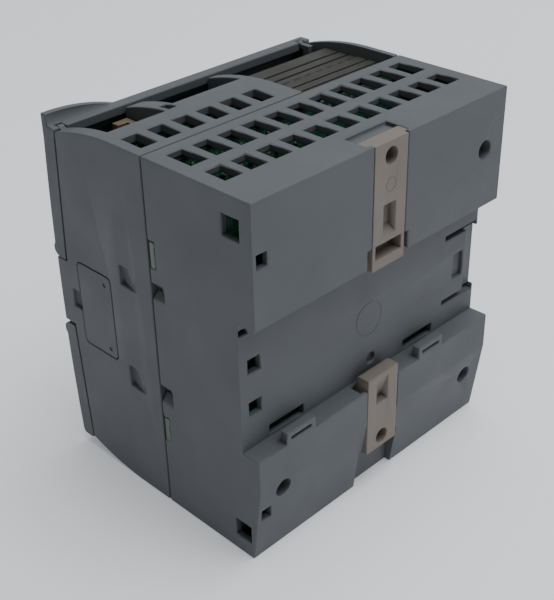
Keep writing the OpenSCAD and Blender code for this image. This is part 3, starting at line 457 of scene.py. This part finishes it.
def flattened(node):
    """Mesh copy of a node: merged, each windowed flat face cut square through its windows, then joined
    into large polygons everywhere but along those cuts."""
    mesh = frame["nodes"][node].data.copy()
    shape = bmesh.new()
    shape.from_mesh(mesh)
    bmesh.ops.remove_doubles(shape, verts=shape.verts, dist=2e-6)
    cuts = window_cuts(shape)
    faces = list(shape.faces)
    pieces = {i: [faces[f] for f in group] for i, (group, _, _) in enumerate(cuts)}
    for i, (_, axis, lines) in enumerate(cuts):
        part = pieces[i]
        for line in lines:
            edges = {e for f in part for e in f.edges}
            verts = {v for f in part for v in f.verts}
            normal = np.eye(3)[axis]
            made = bmesh.ops.bisect_plane(shape, geom=[*part, *edges, *verts], dist=1e-7,
                                          plane_co=normal * line, plane_no=normal)
            part = [g for g in made["geom"] if isinstance(g, bmesh.types.BMFace)]
            for g in made["geom_cut"]:
                if isinstance(g, bmesh.types.BMEdge):
                    g.seam = True
    bmesh.ops.dissolve_limit(shape, angle_limit=math.radians(0.4), verts=shape.verts, edges=shape.edges,
                             delimit={"SEAM"})
    shape.to_mesh(mesh)
    shape.free()
    return mesh


# %% Edge weights from the room beside each edge
def outer_edges(mesh, least_angle):
    """True for each edge that is convex and bends more than least_angle: with n1, n2 the normals of its
    faces and d its direction round face 1, it is convex where n2 . (n1 x d) < 0."""
    loops, count = len(mesh.loops), len(mesh.edges)
    loop_edge, loop_start = np.empty(loops, int), np.empty(loops, int)
    mesh.loops.foreach_get("edge_index", loop_edge)
    mesh.loops.foreach_get("vertex_index", loop_start)
    totals, starts = np.empty(len(mesh.polygons), int), np.empty(len(mesh.polygons), int)
    mesh.polygons.foreach_get("loop_total", totals)
    mesh.polygons.foreach_get("loop_start", starts)
    normals = np.empty(len(mesh.polygons) * 3)
    mesh.polygons.foreach_get("normal", normals)
    normals = normals.reshape(-1, 3)
    face = np.repeat(np.arange(len(totals)), totals)
    following = np.arange(loops) + 1
    following[starts + totals - 1] = starts
    points = vertex_points(mesh)
    direction = points[loop_start[following]] - points[loop_start]
    order = np.argsort(loop_edge, kind="stable")
    first = order[np.searchsorted(loop_edge[order], np.arange(count))]
    second = order[np.searchsorted(loop_edge[order], np.arange(count), side="right") - 1]
    n1, n2 = normals[face[first]], normals[face[second]]
    bend = np.degrees(np.arccos(np.clip((n1 * n2).sum(1), -1, 1)))
    return (bend > least_angle) & ((n2 * np.cross(n1, direction[first])).sum(1) < 0)


def vertex_points(mesh):
    """The mesh's vertices as an (n, 3) array."""
    points = np.empty(len(mesh.vertices) * 3)
    mesh.vertices.foreach_get("co", points)
    return points.reshape(-1, 3)


def room_across(mesh, points):
    """For each edge, how far its faces reach before they meet their own opposite side. In a face with
    normal n, a corner at c lies (c - p) . (n x d) in front of the edge from p along d. It narrows that
    edge, and the edges at c that run nearly parallel to it."""
    room = np.full(len(mesh.edges), np.inf)
    loop_edge, loop_start = np.empty(len(mesh.loops), int), np.empty(len(mesh.loops), int)
    mesh.loops.foreach_get("edge_index", loop_edge)
    mesh.loops.foreach_get("vertex_index", loop_start)
    for face in (f for f in mesh.polygons if f.loop_total > 4):
        span = slice(face.loop_start, face.loop_start + face.loop_total)
        corner, edge = points[loop_start[span]], loop_edge[span]
        along = np.roll(corner, -1, axis=0) - corner
        length = np.linalg.norm(along, axis=1)
        along /= np.maximum(length, 1e-9)[:, None]
        inward = np.cross(np.array(face.normal), along)
        offset = corner[None] - corner[:, None]
        ahead = (offset * inward[:, None]).sum(-1)
        beside = (offset * along[:, None]).sum(-1)
        sees = (ahead > 1e-6) & (beside > -1e-5) & (beside < length[:, None] + 1e-5)
        i, k = np.nonzero(sees)
        np.minimum.at(room, edge[i], ahead[i, k])
        for other in (k, (k - 1) % len(edge)):
            parallel = np.abs((along[i] * along[other]).sum(1)) > 0.5
            np.minimum.at(room, edge[other[parallel]], ahead[i, k][parallel])
    return room


def room_beside(mesh, rounding):
    """For each edge, the least reach of the edges that leave its ends: length x sine of the angle there.
    A rounded edge that carries on in nearly the same line takes no room. Edges that bend gently into one
    another, as round a curve, share the least room of them all, so that their offset lines still meet, and
    so do the two halves of an edge that a window's cut has split."""
    ends = np.empty(len(mesh.edges) * 2, int)
    mesh.edges.foreach_get("vertices", ends)
    points = vertex_points(mesh)
    ends = ends.reshape(-1, 2)
    vector = points[ends[:, 1]] - points[ends[:, 0]]
    length = np.linalg.norm(vector, axis=1)
    unit = vector / np.maximum(length, 1e-9)[:, None]
    order = np.argsort(ends.ravel(), kind="stable")
    vertex, edge, flip = ends.ravel()[order], order // 2, 1 - 2 * (order % 2)
    cut = np.empty(len(ends), bool)
    mesh.edges.foreach_get("use_seam", cut)
    at_cut = np.isin(vertex, ends[cut])
    room, curves = np.full(len(ends), np.inf), []
    for shift in range(1, int(np.bincount(vertex).max())):
        near = vertex[shift:] == vertex[:-shift]
        a, b = edge[shift:][near], edge[:-shift][near]
        ahead = (unit[a] * flip[shift:][near][:, None] * unit[b] * flip[:-shift][near][:, None]).sum(1)
        sine = np.linalg.norm(np.cross(unit[a], unit[b]), axis=1)
        for this, other in ((a, b), (b, a)):
            carries_on = (ahead < -0.95) & rounding[other]
            reach = np.where(carries_on, np.inf, length[other] * sine)
            np.minimum.at(room, this, reach)
        bends = (ahead < -0.6) & ((ahead > -0.99999) | at_cut[shift:][near])
        gentle = bends & rounding[a] & rounding[b]
        curves.append(np.stack([a[gentle], b[gentle]], axis=-1))
    curves = np.concatenate(curves)
    room = np.minimum(room, room_across(mesh, points))
    before = np.full(len(room), np.nan)
    while not np.array_equal(before, room):
        before = room.copy()
        np.minimum.at(room, curves[:, 0], before[curves[:, 1]])
        np.minimum.at(room, curves[:, 1], before[curves[:, 0]])
    return room


def rounded(node, width, segments=2, name=None, least_angle=32):
    """A merged copy of a CAD node whose outer edges are rounded by up to width, riding where it rides."""
    mesh = flattened(node)
    outer = outer_edges(mesh, least_angle)
    weight = np.clip(0.42 * room_beside(mesh, outer) / width, 0, 1) * outer
    mesh.attributes.new("bevel_weight_edge", "FLOAT", "EDGE").data.foreach_set("value", weight)
    mesh.shade_smooth()
    mesh.set_sharp_from_angle(angle=math.radians(least_angle))
    piece = bpy.data.objects.new(name or node + "_moulding", mesh)
    bpy.context.scene.collection.objects.link(piece)
    bevel = piece.modifiers.new("rounded_edges", "BEVEL")
    bevel.limit_method = "WEIGHT"
    bevel.width = width
    bevel.segments = segments
    bevel.use_clamp_overlap = False
    bevel.harden_normals = True
    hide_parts(node)
    return settle(piece, body_of_node[node], slot_of_node[node])


def settle(piece, body, slot, finish=None):
    """Rides a piece on its body and gives it a finish, the slot's own unless named."""
    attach(piece, body)
    piece.data.materials.clear()
    piece.data.materials.append(finishes[finish or slot])
    return piece


widths = {"rear_housing": 0.35, "front_housing": 0.35, "upper_door": 0.5, "lower_door": 0.5}
rebuilt = {"mains_choke", "input_capacitors", "output_capacitors", "input_fuse"}
for node in frame["nodes"]:
    if node not in rebuilt:
        width = 0.04 if node.endswith("screws") else widths.get(node, 0.2)
        rounded(node, width * MM, segments=3 if node in widths else 2)
print("rounded copies:", len(frame["nodes"]) - len(rebuilt), "of", len(frame["nodes"]), "nodes")

# %% [markdown]
# ## Surfaces from arrays
#
# Everything new is a grid of points. A section carried along a path makes wires and windings, and a
# profile turned round an axis makes cans and caps. Where many small copies are needed, one shape's
# points are added to a whole array of places at once, so no loop runs over vertices.

# %% Sweep, lathe and repeat
def swept(path, side, up, section):
    """Grid of points: path + side * u + up * v for each (u, v) of the section, at each path point."""
    return path[:, None] + side[:, None] * section[None, :, :1] + up[:, None] * section[None, :, 1:]


def ring_section(radius, sides):
    """Points of a circle of the given radius as (u, v)."""
    t = np.linspace(0, 2 * math.pi, sides, endpoint=False)
    return radius * np.stack([np.cos(t), np.sin(t)], axis=-1)


def turned(profile, centre, axis, sides=32):
    """Lathe: each (radius, height) of the profile becomes a ring round the axis through the centre."""
    r, h = np.asarray(profile, float).T
    t = np.linspace(0, 2 * math.pi, sides, endpoint=False)
    a, b = np.roll(np.eye(3)[axis], 1), np.roll(np.eye(3)[axis], 2)
    ring = np.cos(t)[:, None] * a + np.sin(t)[:, None] * b
    return np.asarray(centre) + r[:, None, None] * ring[None] + (h[:, None] * np.eye(3)[axis])[:, None]


def capped(grid, first=0):
    """Faces of a tube-shaped grid: its quads, and one flat face at each end."""
    rows, columns = grid.shape[:2]
    end = np.arange(columns)[None]
    return [grid_faces(rows, columns, close_columns=True) + first, end + first,
            end + (rows - 1) * columns + first]


def face_outwards(piece):
    """Turns every face of a closed piece so that its normal points out."""
    shape = bmesh.new()
    shape.from_mesh(piece.data)
    bmesh.ops.recalc_face_normals(shape, faces=shape.faces)
    shape.to_mesh(piece.data)
    shape.free()


def solid_piece(name, grids, smooth=True):
    """One object from several closed tube-shaped grids in millimetres, with outward faces."""
    starts = np.cumsum([0] + [g.shape[0] * g.shape[1] for g in grids])
    faces = [group for g, start in zip(grids, starts) for group in capped(g, int(start))]
    points = np.concatenate([g.reshape(-1, 3) for g in grids]) * MM
    piece = add_object(name, points, faces, smooth)
    face_outwards(piece)
    piece.data.set_sharp_from_angle(angle=math.radians(40))
    return piece


def scattered(grid, places):
    """The same grid moved to each place, as a list of grids ready for solid_piece."""
    return list(np.asarray(grid)[None] + np.asarray(places, float)[:, None, None, :])


def node_box(node):
    """A node's lowest and highest corner in millimetres."""
    low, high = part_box(node)
    return np.array(low) / MM, np.array(high) / MM


# %% [markdown]
# ## Choke
#
# The mains choke is a ring of ferrite wound with thick enamelled wire. The wire is a helix that runs
# round the ring once while it circles the core's section many times. The section is a rounded
# rectangle, written as a superellipse, so that the turns hug the core's flat faces.

# %% Choke core and winding
def superellipse(angle, half_u, half_v, power=4):
    """(u, v) on |u/a|^p + |v/b|^p = 1 at the given angle."""
    c, s = np.cos(angle), np.sin(angle)
    scale = (np.abs(c) ** power + np.abs(s) ** power) ** (-1 / power)
    return np.stack([half_u * c * scale, half_v * s * scale], axis=-1)


choke_low, choke_high = node_box("mains_choke")
choke_mid = (choke_low + choke_high) / 2
choke_wire_r = 0.42
choke_turns = 26
choke_bore_r = 3.5
choke_ring_r = ((choke_high[0] - choke_low[0]) / 2 + choke_bore_r) / 2
choke_core_u = (choke_high[0] - choke_low[0]) / 2 - choke_ring_r - 2 * choke_wire_r
choke_core_v = (choke_high[1] - choke_low[1]) / 2 - 2 * choke_wire_r


def ring_frame(t):
    """Outward direction of the ring at angle t, in the XZ plane."""
    return np.stack([np.cos(t), np.zeros_like(t), np.sin(t)], axis=-1)


def choke_core_grid(steps=64, around=24):
    """Closed ring: centre + outward(t) (R + u) + y v, with (u, v) on the superellipse."""
    out = ring_frame(np.linspace(0, 2 * math.pi, steps, endpoint=False))
    uv = superellipse(np.linspace(0, 2 * math.pi, around, endpoint=False), choke_core_u, choke_core_v)
    return choke_mid + out[:, None] * (choke_ring_r + uv[None, :, :1]) + np.array([0, 1, 0]) * uv[None, :, 1:]


def choke_wire_grid(steps_per_turn=20, sides=8, gap_angle=0.5):
    """Helix on the core: ring angle t runs once round but for a gap, section angle w = turns x t."""
    t = np.linspace(gap_angle, 2 * math.pi - gap_angle, choke_turns * steps_per_turn)
    w = choke_turns * (t - gap_angle) / (1 - gap_angle / math.pi)
    uv = superellipse(w, choke_core_u + choke_wire_r, choke_core_v + choke_wire_r)
    out = ring_frame(t)
    path = choke_mid + out * (choke_ring_r + uv[:, :1]) + np.array([0, 1, 0]) * uv[:, 1:]
    along = np.gradient(path, axis=0)
    along /= np.linalg.norm(along, axis=1)[:, None]
    side = out * np.cos(w)[:, None] + np.array([0, 1, 0]) * np.sin(w)[:, None]
    side -= along * (side * along).sum(1)[:, None]
    side /= np.linalg.norm(side, axis=1)[:, None]
    return swept(path, side, np.cross(along, side), ring_section(choke_wire_r, sides))


core = choke_core_grid()
core_faces = [grid_faces(*core.shape[:2], close_rows=True, close_columns=True)]
choke_core = add_object("choke_core", core.reshape(-1, 3) * MM, core_faces, smooth=True)
face_outwards(choke_core)
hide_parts("mains_choke")
settle(choke_core, "module", "component_black")
settle(solid_piece("choke_winding", [choke_wire_grid()]), "module", "copper_winding")
print("choke:", choke_turns, "turns of", 2 * choke_wire_r, "mm wire")

# %% [markdown]
# ## Capacitors
#
# An electrolytic capacitor is an aluminium can in a shrunk sleeve. The sleeve grips a bead pressed into
# the can near its foot and curls over the rim, and the bare top shows a shallow dish. Both are lathe
# shapes about the Y axis, which points away from the power board.

# %% Capacitor cans
def sleeve_profile(r, height):
    """(radius, distance from the board): foot, pressed bead as a cosine dip, wall, and curled rim."""
    bead = np.linspace(0, 1, 9)
    dip = np.stack([r - 0.35 * (1 - np.cos(2 * math.pi * bead)) / 2, 1.6 + 1.8 * bead], axis=-1)
    curl = np.linspace(0, math.pi / 2, 6)
    rim = np.stack([r - 0.5 + 0.5 * np.cos(curl), height - 0.5 + 0.5 * np.sin(curl)], axis=-1)
    inner = [[r - 1.1, height], [r - 1.1, height - 0.3]]
    return np.concatenate([[[r - 0.4, 0], [r, 0.4]], dip, rim, inner])


def top_profile(r, height):
    """(radius, distance) of the bare top: a disc with a shallow pressed dish."""
    return [[r - 1.15, height - 1], [r - 1.15, height - 0.25], [r - 1.6, height - 0.15],
            [0.5 * r, height - 0.35], [0.05, height - 0.4]]


def can_grids(profile, x, z_list, board_y):
    """One lathe grid for each can, standing towards -Y from the board's face."""
    flipped = np.asarray(profile) * [1, -1]
    return [turned(flipped, (x, board_y, z), axis=1) for z in z_list]


def capacitor_row(node, count, label):
    """Sleeves and bare tops for a row of equal cans that fill the node's box along Z."""
    low, high = node_box(node)
    r, height = (high[0] - low[0]) / 2, high[1] - low[1]
    z_list = np.linspace(low[2] + r, high[2] - r, count)
    x = (low[0] + high[0]) / 2
    sleeves = solid_piece(label + "_sleeves", can_grids(sleeve_profile(r, height), x, z_list, high[1]))
    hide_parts(node)
    settle(sleeves, "module", "capacitor_sleeve")
    tops = solid_piece(label + "_tops", can_grids(top_profile(r, height), x, z_list, high[1]))
    settle(tops, "module", "cooler_aluminium")
    print(label, count, "cans of radius", round(r, 2), "and height", round(height, 2), "mm")


capacitor_row("input_capacitors", 2, "input_can")
capacitor_row("output_capacitors", 3, "output_can")

# %% [markdown]
# ## Fuse
#
# The fuse is a glass tube between two tinned caps, with a thin wire inside. The tube is a closed lathe
# shape about Z and the caps are short cups over its ends on small feet; the wire inside is not built.

# %% Fuse
fuse_low, fuse_high = node_box("input_fuse")
fuse_r = (fuse_high[0] - fuse_low[0]) / 2
fuse_centre = np.array([(fuse_low[0] + fuse_high[0]) / 2, fuse_low[1] + fuse_r, fuse_low[2]])
fuse_length = fuse_high[2] - fuse_low[2]
cap_length = 5
cap_shape = [[fuse_r - 0.3, 0], [fuse_r, 0.3], [fuse_r, cap_length - 0.3], [fuse_r - 0.25, cap_length]]
caps = [turned(cap_shape, fuse_centre + [0, 0, z], axis=2) for z in (0, fuse_length - cap_length)]
foot_half = 0.5
foot_corner = np.array([[-foot_half, -foot_half], [foot_half, -foot_half], [foot_half, foot_half],
                        [-foot_half, foot_half]])
foot_y = np.array([fuse_centre[1] + fuse_r - 0.4, fuse_high[1]])
foot = np.stack([np.stack([foot_corner[:, 0], np.full(4, y), foot_corner[:, 1]], axis=-1) for y in foot_y])
feet = scattered(foot, [[fuse_centre[0], 0, fuse_low[2] + z] for z in (2.5, fuse_length - 2.5)])
fuse_caps = solid_piece("fuse_caps", caps + feet)
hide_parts("input_fuse")
settle(fuse_caps, "module", "plated_steel")

glass_shape = [[fuse_r - 0.35, cap_length - 1], [fuse_r - 0.35, fuse_length - cap_length + 1]]
settle(solid_piece("fuse_glass", [turned(glass_shape, fuse_centre, axis=2)]), "module", "clear_plastic")
print("fuse:", round(fuse_length, 1), "mm between the ends of its caps")

# %% [markdown]
# ## Chip leads
#
# Flat chips stand on rows of bent leads. One lead is a thin strip that leaves the body, drops in an S
# and ends in a flat foot: its height follows a smooth step of the distance from the body. The strip's
# section is carried along that path, and the copies are placed along each side of the chip.

# %% Chip leads
def lead_grid(reach, drop, width, thickness, outward):
    """Strip along outward: y = drop * s(t) with s = 3t^2 - 2t^3 over the middle, flat at both ends."""
    t = np.linspace(0, 1, 9)
    middle = np.clip((t - 0.25) / 0.4, 0, 1)
    y = -drop * (3 * middle**2 - 2 * middle**3)
    along = np.array(outward, float)
    across = np.cross(along, [0, 1, 0])
    path = along * (reach * t)[:, None] + np.array([0, 1, 0]) * y[:, None]
    w, h = width / 2, thickness / 2
    section = np.array([[-w, -h], [w, -h], [w, h], [-w, h]])
    side = np.repeat(across[None], len(t), axis=0)
    up = np.repeat(np.array([[0, 1.0, 0]]), len(t), axis=0)
    return swept(path, side, up, section)


def lead_rows(low, high, pitch, sides, reach=0.9, width=0.3):
    """Leads along the sides named of a chip whose foot face is at low Y, as a list of grids."""
    grids = []
    drop = 0.5
    y = low[1] + drop + 0.12
    for outward in sides:
        axis = 2 if outward[0] else 0
        span = high[axis] - low[axis]
        count = int((span - 0.8) / pitch)
        start = (low[axis] + high[axis]) / 2 - pitch * (count - 1) / 2
        places = np.zeros((count, 3))
        places[:, 1] = y
        places[:, axis] = start + pitch * np.arange(count)
        other = 2 - axis
        places[:, other] = (high if outward[other] > 0 else low)[other]
        grids += scattered(lead_grid(reach, drop, width, 0.13, outward), places)
    return grids


four_sides = [(1, 0, 0), (-1, 0, 0), (0, 0, 1), (0, 0, -1)]
leads = lead_rows(*node_box("processor_chip"), 0.65, four_sides)
driver_low, driver_high = node_box("driver_chips")
driver_w, driver_pitch = 5.0, 10.0
for x in driver_low[0] + driver_pitch * np.arange(4):
    chip_low, chip_high = np.array(driver_low), np.array(driver_high)
    chip_low[0], chip_high[0] = x, x + driver_w
    leads += lead_rows(chip_low, chip_high, 1.0, four_sides[:2])
settle(solid_piece("chip_leads", leads, smooth=False), "module", "plated_steel")
print("chip leads:", len(leads))

# %% [markdown]
# ## Solder joints and small parts
#
# The rear faces of the boards show what stands on their other side: rows of solder joints, each a small
# dome round a pin's tip. Between them sit chip resistors and capacitors, rounded bars with tinned ends.
# Each is one small grid, repeated by adding an array of places.

# %% Solder joints
def joint_grid(r=0.85, height=0.75, tip_r=0.3, tip=0.45):
    """Dome r cos t, height sin t that runs into a short round tip, turned about +Y."""
    t = np.linspace(0, math.radians(65), 5)
    dome = np.stack([r * np.cos(t), height * np.sin(t)], axis=-1)
    end = [[tip_r, dome[-1, 1] + tip], [tip_r * 0.5, dome[-1, 1] + tip + 0.12]]
    return turned(np.concatenate([dome, end]), (0, 0, 0), axis=1, sides=10)


def pad_places(x_range, z_range, columns, rows, y):
    """A columns x rows lattice of places on the board's face at y."""
    x, z = np.meshgrid(np.linspace(*x_range, columns), np.linspace(*z_range, rows))
    return np.stack([x.ravel(), np.full(x.size, y), z.ravel()], axis=-1)


io_face, logic_face = (node_box(board)[1][1] for board in ("io_board", "logic_board"))
header_low, header_high = node_box("upper_io_header")
header_margin = 2.2
header_x = (header_low[0] + header_margin, header_high[0] - header_margin)
joints = scattered(joint_grid(), np.concatenate([
    pad_places(header_x, (72, 94.6), 8, 4, io_face),
    pad_places((-2, 38), (88.5, 94.2), 14, 2, io_face),
    pad_places((-38, 38), (30, 33), 16, 2, io_face),
]))
settle(solid_piece("solder_joints", joints), "module", "plated_steel", "solder_tin")
print("solder joints:", len(joints))


# %% Chip resistors and capacitors
def bar_grid(length, width, height, inset=0.12):
    """Rounded bar along X, standing on y = 0: a superellipse section that shrinks at both ends."""
    x = np.array([-0.5, -0.5, 0.5, 0.5]) * length + np.array([0, inset, -inset, 0])
    shrink = np.array([1 - inset, 1, 1, 1 - inset])
    uv = superellipse(np.linspace(0, 2 * math.pi, 12, endpoint=False), 1, 1, power=8)
    y = height / 2 * (1 + uv[None, :, 0] * shrink[:, None])
    z = width / 2 * uv[None, :, 1] * shrink[:, None]
    return np.stack([np.broadcast_to(x[:, None], y.shape), y, z], axis=-1)


part_places = np.concatenate([
    pad_places((0, 40), (91.8, 94.8), 11, 2, logic_face),
    pad_places((-38, -16), (54, 84), 6, 5, io_face),
    pad_places((6, 38), (62, 84), 8, 4, io_face),
])
bodies = scattered(bar_grid(2.0, 1.25, 0.62), part_places)
ends = scattered(bar_grid(0.45, 1.33, 0.7), part_places + [0.95, 0, 0])
ends += scattered(bar_grid(0.45, 1.33, 0.7), part_places - [0.95, 0, 0])
settle(solid_piece("chip_parts", bodies), "module", "socket_tan")
settle(solid_piece("chip_part_ends", ends), "module", "plated_steel")
print("chip parts:", len(bodies))

# %% [markdown]
# ## Contacts
#
# The network socket holds eight sprung wires that lean across its opening, and the connectors behind the
# covers hold rows of flat blades. A wire's path is a straight lean with a round bend, and a blade is a
# short bar with a tapered tip.

# %% Socket wires and connector blades
def spring_wire_grid(length, lean, r=0.22):
    """Wire in the YZ plane: z falls with t while y leans out as lean * t^2."""
    t = np.linspace(0, 1, 12)
    path = np.stack([np.zeros_like(t), -lean * t**2, -length * t], axis=-1)
    along = np.gradient(path, axis=0)
    along /= np.linalg.norm(along, axis=1)[:, None]
    side = np.repeat(np.array([[1.0, 0, 0]]), len(t), axis=0)
    return swept(path, side, np.cross(along, side), ring_section(r, 8))


socket_low, socket_high = node_box("network_socket")
socket_x = (socket_low[0] + socket_high[0]) / 2
wire_pitch = 1.02
wire_x = socket_x + wire_pitch * (np.arange(8) - 3.5)
wire_places = np.stack([wire_x, np.full(8, -18.75), np.full(8, 18.6)], axis=-1)
wires = scattered(spring_wire_grid(10, 2.4), wire_places)
settle(solid_piece("socket_wires", wires), "module", "copper_winding", "contact_gold")


def blade_grid(length, width, thickness, axis):
    """Flat bar along the axis from 0 to length whose tip narrows over its last fifth."""
    s = np.array([0, 0.8, 1.0]) * length
    taper = np.array([1, 1, 0.35])
    corner = np.array([[-1, -1], [1, -1], [1, 1], [-1, 1]]) / 2
    a, b = (axis + 1) % 3, (axis + 2) % 3
    grid = np.zeros((3, 4, 3))
    grid[..., axis] = s[:, None]
    grid[..., a] = corner[None, :, 0] * thickness * taper[:, None]
    grid[..., b] = corner[None, :, 1] * width * taper[:, None]
    return grid


slot_x = np.linspace(-6.6, 6.6, 13)
expansion_low, expansion_high = node_box("expansion_connector")
blade_y = expansion_low[1] + 0.6
blade_z = (expansion_low[2] + expansion_high[2]) / 2
rows = [np.stack([slot_x, np.full(13, blade_y), np.full(13, blade_z + s)], axis=-1) for s in (-0.55, 0.55)]
blades = scattered(blade_grid(3.3, 0.4, 0.5, 1), np.concatenate(rows))
bus_low, bus_high = node_box("bus_connector")
bus_z = np.linspace(bus_low[2] + 2.6, bus_high[2] - 2.6, 9)
for sign in (1, -1):
    x = sign * (bus_high[0] - 3.9)
    places = np.stack([np.full(9, x), np.full(9, bus_low[1] + 3.2), bus_z], axis=-1)
    blades += scattered(blade_grid(sign * 3.4, 0.6, 0.5, 0), places)
settle(solid_piece("connector_blades", blades, smooth=False), "module", "copper_winding", "contact_gold")
print("contacts:", len(wires), "wires and", len(blades), "blades")

# %% [markdown]
# ## Transformer coil
#
# The coil former stands inside the ferrite core, wound with many close turns. Seen from outside it is a
# rounded block whose surface ripples once for each turn, so one closed grid with a cosine ripple along
# its length gives the turns without hundreds of separate wires.

# %% Transformer coil
core_low, core_high = node_box("power_transformer")
coil_turns, coil_t = 22, 4.2
coil_z = np.linspace(core_low[2] + coil_t, core_high[2] - coil_t, coil_turns * 6 + 1)
coil_mid = (core_low + core_high) / 2
ripple = 0.12 * np.cos(2 * math.pi * coil_turns * (coil_z - coil_z[0]) / (coil_z[-1] - coil_z[0]))
coil_uv = superellipse(np.linspace(0, 2 * math.pi, 28, endpoint=False), 1, 1, power=5)
coil_half = np.array([7.2, 5.4])
coil = np.stack([
    coil_mid[0] + coil_uv[None, :, 0] * (coil_half[0] + ripple[:, None]),
    coil_mid[1] + coil_uv[None, :, 1] * (coil_half[1] + ripple[:, None]),
    np.broadcast_to(coil_z[:, None], (len(coil_z), len(coil_uv))),
], axis=-1)
settle(solid_piece("transformer_coil", [coil]), "module", "copper_winding")
print("coil:", coil_turns, "turns")
